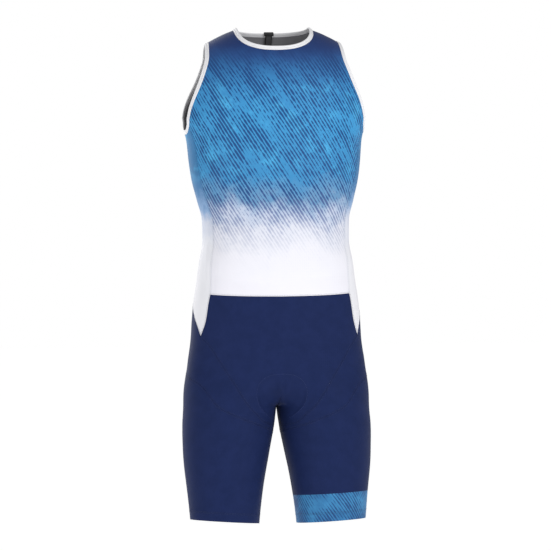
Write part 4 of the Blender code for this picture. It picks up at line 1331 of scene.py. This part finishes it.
@dataclass
class Stitching:
    """All visible stitches of the suit, in two thread colours."""

    step: float = 0.0031
    length: float = 0.0024
    radius: float = 0.00022
    rings: tuple[tuple[float, float], ...] = ((-0.36, 0.8), (0.0, 1.0), (0.36, 0.8))

    def build(self, pattern: Pattern, repeat: RepeatTree, navy: bpy.types.Material, pale: bpy.types.Material,
              light: bpy.types.Material) -> None:
        """Sews the seams, the pad's edge and the hems; the pad's edge is sewn in a paler thread, partly the
        thread's own colour and partly a painted highlight of the lit rim of the pad's ridge.
        """
        seams = pattern.seams
        shape = ring_bar("thread_shape", self.rings, self.radius, self.length, 2, 5)
        navy_names = ("waist", "waist back", "shorts side", "hip top", "slant seam", "leg seam", "inseam top")
        pale_names = ("side seam", "side seam back")
        for name, seam_names, finish, slot in (("seam_thread_navy", navy_names, navy, "navy_knit"),
                                               ("seam_thread_pale", pale_names, pale, "side_knit")):
            lines = []
            for seam in seam_names:
                for side in (PLAIN, MIRRORED):
                    lines += SeamRow(seams[seam], side).lines(SHORTS_CREASES)
            if finish is navy:
                for side, start in ((PLAIN, HEM + BAND_HEIGHT), (MIRRORED, HEM)):
                    inseam = [(0.0, level) for level in np.linspace(INSEAM_JOINT - 0.002, start, 40)]
                    lines += SeamRow(inseam, side).lines(CREASES)
            self.sew(name, lines, repeat, shape, finish, slot)
        edge = [FORM.from_view(*place) for place in curve_through(PAD_RIDGE.path)]
        lines = [line for side in (PLAIN, MIRRORED)
                 for line in SeamRow(edge, side, (0.0,)).lines(SHORTS_CREASES)]
        # the pad's edge thread is paler than the navy: partly stitching colour, partly a painted highlight of
        # the lit rim of the pad's ridge
        self.sew("pad_edge_thread", lines, repeat, shape, light, "navy_knit")
        hems = []
        for side in (PLAIN, MIRRORED):
            row = [(turn, HEM + 0.016) for turn in np.linspace(0.0, 1.0, 120)]
            hems += SeamRow(row, side, (-0.0012, 0.0012)).lines(CREASES)
        self.sew("hem_thread", hems, repeat, shape, navy, "navy_knit")

    def sew(self, name: str, lines: Sequence[np.ndarray], repeat: RepeatTree, shape: bpy.types.Object,
            finish: bpy.types.Material, slot: str) -> None:
        """Makes the stitches along some lines and lets them ride on the suit."""
        declare(repeat.run(name, lines, shape, self.step, finish), slot)


# ---------------------------------------------------------------- zip
@dataclass
class ZipDressing:
    """Teeth of the coil; the slider and pull with broken edges are made apart from it."""

    pitch: float = 0.00125
    half_width: float = 0.0020
    radius: float = 0.00042
    rings: tuple[tuple[float, float], ...] = ((-1.0, 0.3), (-0.8, 1.0), (0.8, 1.0), (1.0, 0.3))
    lower_gap: float = 0.004
    stand: float = 0.0005

    def rows(self, pattern: Pattern) -> list[np.ndarray]:
        """Centre-back points from the zip's lower end to the neck edge."""
        start = ZIP_END + self.lower_gap
        levels = [start] + [place[1] for place in pattern.back_edge()[::FINE] if place[1] > start]
        return [FORM.point(1.0, level) for level in levels]

    def build(self, pattern: Pattern, repeat: RepeatTree, finish: bpy.types.Material) -> bpy.types.Object:
        """Makes the coil's teeth."""
        rows = self.rows(pattern)
        line = []
        for k, point in enumerate(rows):
            run = rows[min(k + 1, len(rows) - 1)] - rows[max(k - 1, 0)]
            normal = unit(np.cross(run, np.array((1.0, 0.0, 0.0))))
            line.append(point + normal * self.stand)
        tooth = ring_bar("tooth_shape", self.rings, self.radius, self.half_width, 1, 6)
        return declare(repeat.run("zip_teeth", [np.array(line)], tooth, self.pitch, finish), "black_tape")


# ---------------------------------------------------------------- stage
@dataclass
class Studio:
    """Camera, lights, floor and background."""

    scale: float = 0.00187
    axis_pixel: float = 275.6
    top_pixel: float = 30.0
    image: float = 551.0
    yaw: float = 7.0
    rise: float = 1.25
    roll: float = 0.45
    distance: float = 40.0
    sensor: float = 36.0
    ambient: float = 0.55
    floor_reach: float = 30.0
    floor_level: float = -1.35
    target: tuple[float, float, float] = (0.0, 0.0, -0.45)
    # name, place, size and power of each light
    lights: tuple[tuple, ...] = (
        ("key", (1.6, -2.6, 0.9), 1.6, 56.0), ("fill", (-2.4, -2.2, 0.2), 2.0, 27.0),
        ("rear", (-1.4, 2.9, 0.8), 2.0, 60.0))

    def camera(self) -> None:
        """Sets the camera at the photograph's angle."""
        middle = self.image / 2
        right = (middle - self.axis_pixel) * self.scale
        height = -(middle - self.top_pixel) * self.scale
        yaw, rise = math.radians(self.yaw), math.radians(self.rise)
        aim = Vector((right * math.cos(yaw), -right * math.sin(yaw), height))
        way = Vector((math.sin(yaw) * math.cos(rise), math.cos(yaw) * math.cos(rise), -math.sin(rise)))
        data = bpy.data.cameras.new("camera")
        data.sensor_width = self.sensor
        data.lens = self.sensor * self.distance / (self.image * self.scale)
        item = link_object("camera", data)
        item.location = aim - way * self.distance
        turned = Quaternion((0.0, 0.0, 1.0), -math.radians(self.roll))
        item.rotation_euler = (way.to_track_quat("-Z", "Y") @ turned).to_euler()
        bpy.context.scene.camera = item

    def light(self, name: str, place: tuple[float, float, float], size: float, power: float) -> None:
        """Adds a soft square light that points at the suit."""
        data = bpy.data.lights.new(name, "AREA")
        data.size = size
        data.energy = power
        item = link_object(name, data)
        item.location = place
        item.rotation_euler = (Vector(self.target) - Vector(place)).to_track_quat("-Z", "Y").to_euler()

    def build(self) -> None:
        """Sets up everything round the suit."""
        self.camera()
        world = bpy.data.worlds.new("studio")
        world.use_nodes = True
        ground = world.node_tree.nodes["Background"]
        ground.inputs["Color"].default_value = (1.0, 1.0, 1.0, 1.0)
        seen = world.node_tree.nodes.new("ShaderNodeLightPath")
        strength = world.node_tree.nodes.new("ShaderNodeMath")
        strength.operation = "MULTIPLY_ADD"
        strength.inputs[1].default_value = 1.0 - self.ambient
        strength.inputs[2].default_value = self.ambient
        world.node_tree.links.new(seen.outputs["Is Camera Ray"], strength.inputs[0])
        world.node_tree.links.new(strength.outputs[0], ground.inputs["Strength"])
        bpy.context.scene.world = world
        bpy.context.scene.view_settings.view_transform = "Standard"
        for row in self.lights:
            self.light(*row)
        corners = [(x * self.floor_reach, y * self.floor_reach, self.floor_level)
                   for x, y in ((-1, -1), (1, -1), (1, 1), (-1, 1))]
        floor = make_object("floor", np.array(corners), [[0, 1, 2, 3]], ())
        tree = Tree("pale_floor")
        tree.finish((0.92, 0.92, 0.92), 0.9, Specular_IOR_Level=0.0, Emission_Strength=0.5)
        tree.shader.inputs["Emission Color"].default_value = (1.0, 1.0, 1.0, 1.0)
        floor.data.materials.append(tree.material)


# ---------------------------------------------------------------- suit
@dataclass
class Pad:
    """Soft seat pad inside the shorts, crowned in the middle with pressed channels."""

    outer: float = -0.0030
    edge: float = 0.0012
    crown: float = 0.0030
    slope: float = 0.016
    snap: float = 0.0006
    channel_inset: float = 0.020
    channel_width: float = 0.0022
    cross_place: float = 0.165
    cross_width: float = 0.003
    press: float = 0.6

    def line(self) -> np.ndarray:
        """Points along the middle, from the front end under the crotch to the back."""
        front = [FORM.point(0.0, level) for level in np.linspace(PAD_FRONT_END, CROTCH, 60)]
        back = [FORM.point(1.0, level) for level in np.linspace(CROTCH, TURN_SHIFT_START, 130)]
        return np.array(front + back[1:])

    def build(self, pattern: Pattern, finish: bpy.types.Material) -> bpy.types.Object:
        """Makes the pad."""
        sheet = Sheet()
        for name in ("shorts_front", "hip"):
            for mirror in (False, True):
                sheet.add_grid(pattern.grids[name], mirror, False, None)
        self.weld(sheet)
        line = self.line()
        way = np.concatenate(([0.0], np.cumsum(np.linalg.norm(np.diff(line, axis=0), axis=1))))
        share, along = [], []
        for point in sheet.points:
            distances = np.linalg.norm(line - point, axis=1)
            nearest = int(np.argmin(distances))
            inside = smooth(PAD_OUTLINE, 1, float(way[nearest])) - float(distances[nearest])
            if (nearest == 0 and point[2] > line[0][2]) or way[nearest] > PAD_OUTLINE[-1][0]:
                inside = -1.0
            share.append(0.0 if abs(inside) < self.snap else inside)
            along.append(float(way[nearest]))
        points, normals, shares, ways, faces = self.clip(sheet, share, along)
        dome = np.clip(shares / self.slope, 0, 1) ** 0.7
        channel = np.exp(-((np.abs(shares - self.channel_inset)) / self.channel_width) ** 2) * self.press
        channel += np.exp(-((ways - self.cross_place) / self.cross_width) ** 2) * self.press
        depth = self.outer - self.edge - self.crown * np.clip(dome - channel, 0, 1)
        vertices, body = shell(points + normals * self.outer, points + normals * depth[:, None], faces)
        item = declare(make_object("seat_pad", vertices, body, (finish,)), "grey_pad", "chamois_pad")
        return item

    def weld(self, sheet: Sheet) -> None:
        """Joins a sheet's corners that lie at one point and splits its faces into triangles."""
        places: dict[tuple, int] = {}
        points, normals, index = [], [], []
        for point, normal in zip(sheet.points, sheet.normals):
            key = tuple(int(round(value * 1e5)) for value in point)
            if key not in places:
                places[key] = len(points)
                points.append(point)
                normals.append(np.zeros(3))
            normals[places[key]] = normals[places[key]] + normal
            index.append(places[key])
        sheet.points = points
        sheet.normals = [unit(normal) for normal in normals]
        triangles = []
        for face in sheet.faces:
            ring = [index[v] for v in face]
            triangles += [[ring[0], ring[k], ring[k + 1]] for k in range(1, len(ring) - 1)]
        sheet.faces = [face for face in triangles if len(set(face)) == 3]

    def clip(self, sheet: Sheet, share: Sequence[float], along: Sequence[float]) -> tuple:
        """Part of the sheet inside the pad's outline, with the outline cut between corners."""
        made: dict[tuple, int] = {}
        rows: list[tuple] = []
        faces = []

        def corner(key: tuple, row: tuple) -> int:
            """Index of a corner, made once."""
            if key not in made:
                made[key] = len(rows)
                rows.append(row)
            return made[key]

        for triangle in sheet.faces:
            kept = []
            for k, start in enumerate(triangle):
                end = triangle[(k + 1) % 3]
                if share[start] >= 0:
                    kept.append(corner((start,), (sheet.points[start], sheet.normals[start], share[start],
                                                  along[start])))
                if share[start] * share[end] < 0:
                    low, high = sorted((start, end))
                    t = share[low] / (share[low] - share[high])
                    kept.append(corner((low, high), (
                        (1 - t) * sheet.points[low] + t * sheet.points[high],
                        unit((1 - t) * sheet.normals[low] + t * sheet.normals[high]), 0.0,
                        (1 - t) * along[low] + t * along[high])))
            if len(kept) > 2 and any(share[v] > 0 for v in triangle):
                faces.append(kept)
        points, normals, shares, ways = (np.array(column) for column in zip(*rows))
        return points, normals, shares, ways, faces


def bevelled(node: str, name: str, body: str, slot: str, width: float, finish: bpy.types.Material) -> None:
    """Copy of a solid with its edges broken, which stands for it.

    Args:
        node: the solid.
        name: the new piece.
        body: the body it rides on.
        slot: its material slot.
        width: the width of the broken edges.
        finish: its material.
    """
    source = bpy.data.objects[node]
    item = link_object(name, source.data.copy())
    item.data.materials.clear()
    item.data.materials.append(finish)
    weld = item.modifiers.new("weld", "WELD")
    weld.merge_threshold = 0.00002
    bevel = item.modifiers.new("bevel", "BEVEL")
    bevel.width = width
    bevel.segments = 2
    bevel.limit_method = "ANGLE"
    graph = bpy.context.evaluated_depsgraph_get()
    mesh = bpy.data.meshes.new_from_object(item.evaluated_get(graph))
    item.modifiers.clear()
    item.data = mesh
    mesh.shade_smooth()
    mesh.set_sharp_from_angle(angle=math.radians(40))
    declare(item, slot, node, body)


def build_cloth(pattern: Pattern, tapes: tuple[bpy.types.Object, ...]) -> None:
    """Makes every cut piece of cloth; the edge tapes are passed to the front one as its edging."""
    printed, sides, navy = PrintedKnit().make(), SideKnit().make(), NavyKnit().make()
    band = BandKnit().make()
    charcoal = InsideKnit("charcoal_inside", tone(140, 140, 144)).make()
    dark = InsideKnit("navy_inside", tone(94, 100, 122)).make()
    both = (False, True)
    from_front, from_back = PrintMap(False), PrintMap(True)
    front = tuple(("torso_front", mirror) for mirror in both)
    shorts = tuple(("shorts_front", mirror) for mirror in both)
    ClothPanel("front_cloth", "torso_front", "printed_knit", front, (0.42, 0.50),
               measure=from_front, edging=tapes).build(pattern, printed, charcoal)
    ClothPanel("shorts_front_cloth", "shorts_front", "navy_knit", shorts, (0.27, 0.27),
               creases=SHORTS_CREASES).build(pattern, navy, dark)
    for side, mirror in (("left", False), ("right", True)):
        ClothPanel(f"back_cloth_{side}", f"torso_back_{side}", "printed_knit", (("torso_back", mirror),),
                   (0.19, 0.49), measure=from_back).build(pattern, printed, charcoal)
        ClothPanel(f"side_cloth_{side}", f"torso_side_{side}", "side_knit", (("torso_side", mirror),),
                   (0.13, 0.37), measure=from_front).build(pattern, sides, charcoal)
        ClothPanel(f"hip_cloth_{side}", f"hip_{side}", "navy_knit", (("hip", mirror),), (0.36, 0.27),
                   creases=SHORTS_CREASES).build(pattern, navy, dark)
        leg = "leg_short" if side == "left" else "leg_whole"
        ClothPanel(f"leg_cloth_{side}", f"leg_{side}", "navy_knit", ((leg, mirror),), (0.50, 0.24),
                   closed=True).build(pattern, navy, dark)
    ClothPanel("hem_band_cloth", "hem_band_left", "band_knit", (("hem_band", False),), (0.42, 0.055),
               closed=True).build(pattern, band, dark)


def build_tapes(pattern: Pattern) -> tuple[bpy.types.Object, ...]:
    """Makes the white edge tapes."""
    white = TapeFinish("white_tape_finish", tone(240, 240, 243), 0.6, variation=0.01).make()
    seams = pattern.seams
    left = seams["neck back"] + reverse(seams["neck front"])[:-1]
    places = left + [seams["neck front"][0]] + reverse(left)
    sides = [PLAIN] * (len(left) + 1) + [MIRRORED] * len(left)
    neck = EdgeTape("neck_tape", "neck_binding")
    made = [neck.build(neck.frames(places, sides, False, NECK_LIFT), False, white)]
    loop = seams["armhole front"][:-1] + seams["armhole bottom"][:-1] + reverse(seams["armhole back"])[:-1]
    for name, side in (("left", PLAIN), ("right", MIRRORED)):
        tape = EdgeTape(f"armhole_tape_{name}", f"armhole_binding_{name}")
        run = reverse(loop) if side is PLAIN else loop
        made.append(tape.build(tape.frames(run, [side] * len(run), True, 0.0), True, white))
    return tuple(made)


def main() -> None:
    """Builds the dressed suit."""
    logging.basicConfig(level=logging.INFO, format="%(name)s: %(message)s")
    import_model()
    pattern = Pattern()
    build_cloth(pattern, build_tapes(pattern))
    pad = TapeFinish("pad_fleece", tone(92, 94, 98), 0.9, grain=700.0).make()
    Pad().build(pattern, pad)
    black = TapeFinish("zip_tape_weave", tone(40, 40, 43), 0.8, ribs=3000.0).make()
    guard = TapeFinish("guard_tape_weave", tone(74, 74, 77), 0.85, ribs=2500.0).make()
    metal = TapeFinish("dark_metal", tone(88, 88, 92), 0.35, 0.9, grain=300.0).make()
    repeat = RepeatTree("repeat_along")
    navy_thread = TapeFinish("navy_thread", tone(31, 45, 88), 0.7, grain=2500.0).make()
    pale_thread = SeamThread().make()
    # paler navy thread of the pad's edge: partly its own colour, partly a painted highlight of the lit rim of
    # the pad's ridge
    pad_edge_highlight_thread = TapeFinish("pad_edge_highlight_thread", tone(50, 66, 122), 0.7, grain=2500.0).make()
    Stitching().build(pattern, repeat, navy_thread, pale_thread, pad_edge_highlight_thread)
    ZipDressing().build(pattern, repeat, black)
    for node, finish in (("zip_tape", black), ("zip_guard", guard)):
        item = bpy.data.objects[node]
        item.data.materials.clear()
        item.data.materials.append(finish)
    bevelled("zip_cover", "zip_cover_cloth", "suit", "black_tape", 0.0004, black)
    bevelled("zip_slider", "slider_metal", "suit", "zip_metal", 0.0002, metal)
    bevelled("zip_pull_tab", "pull_tab_metal", "pull_tab", "zip_metal", 0.0002, metal)
    Studio().build()


if __name__ == "__main__":
    main()
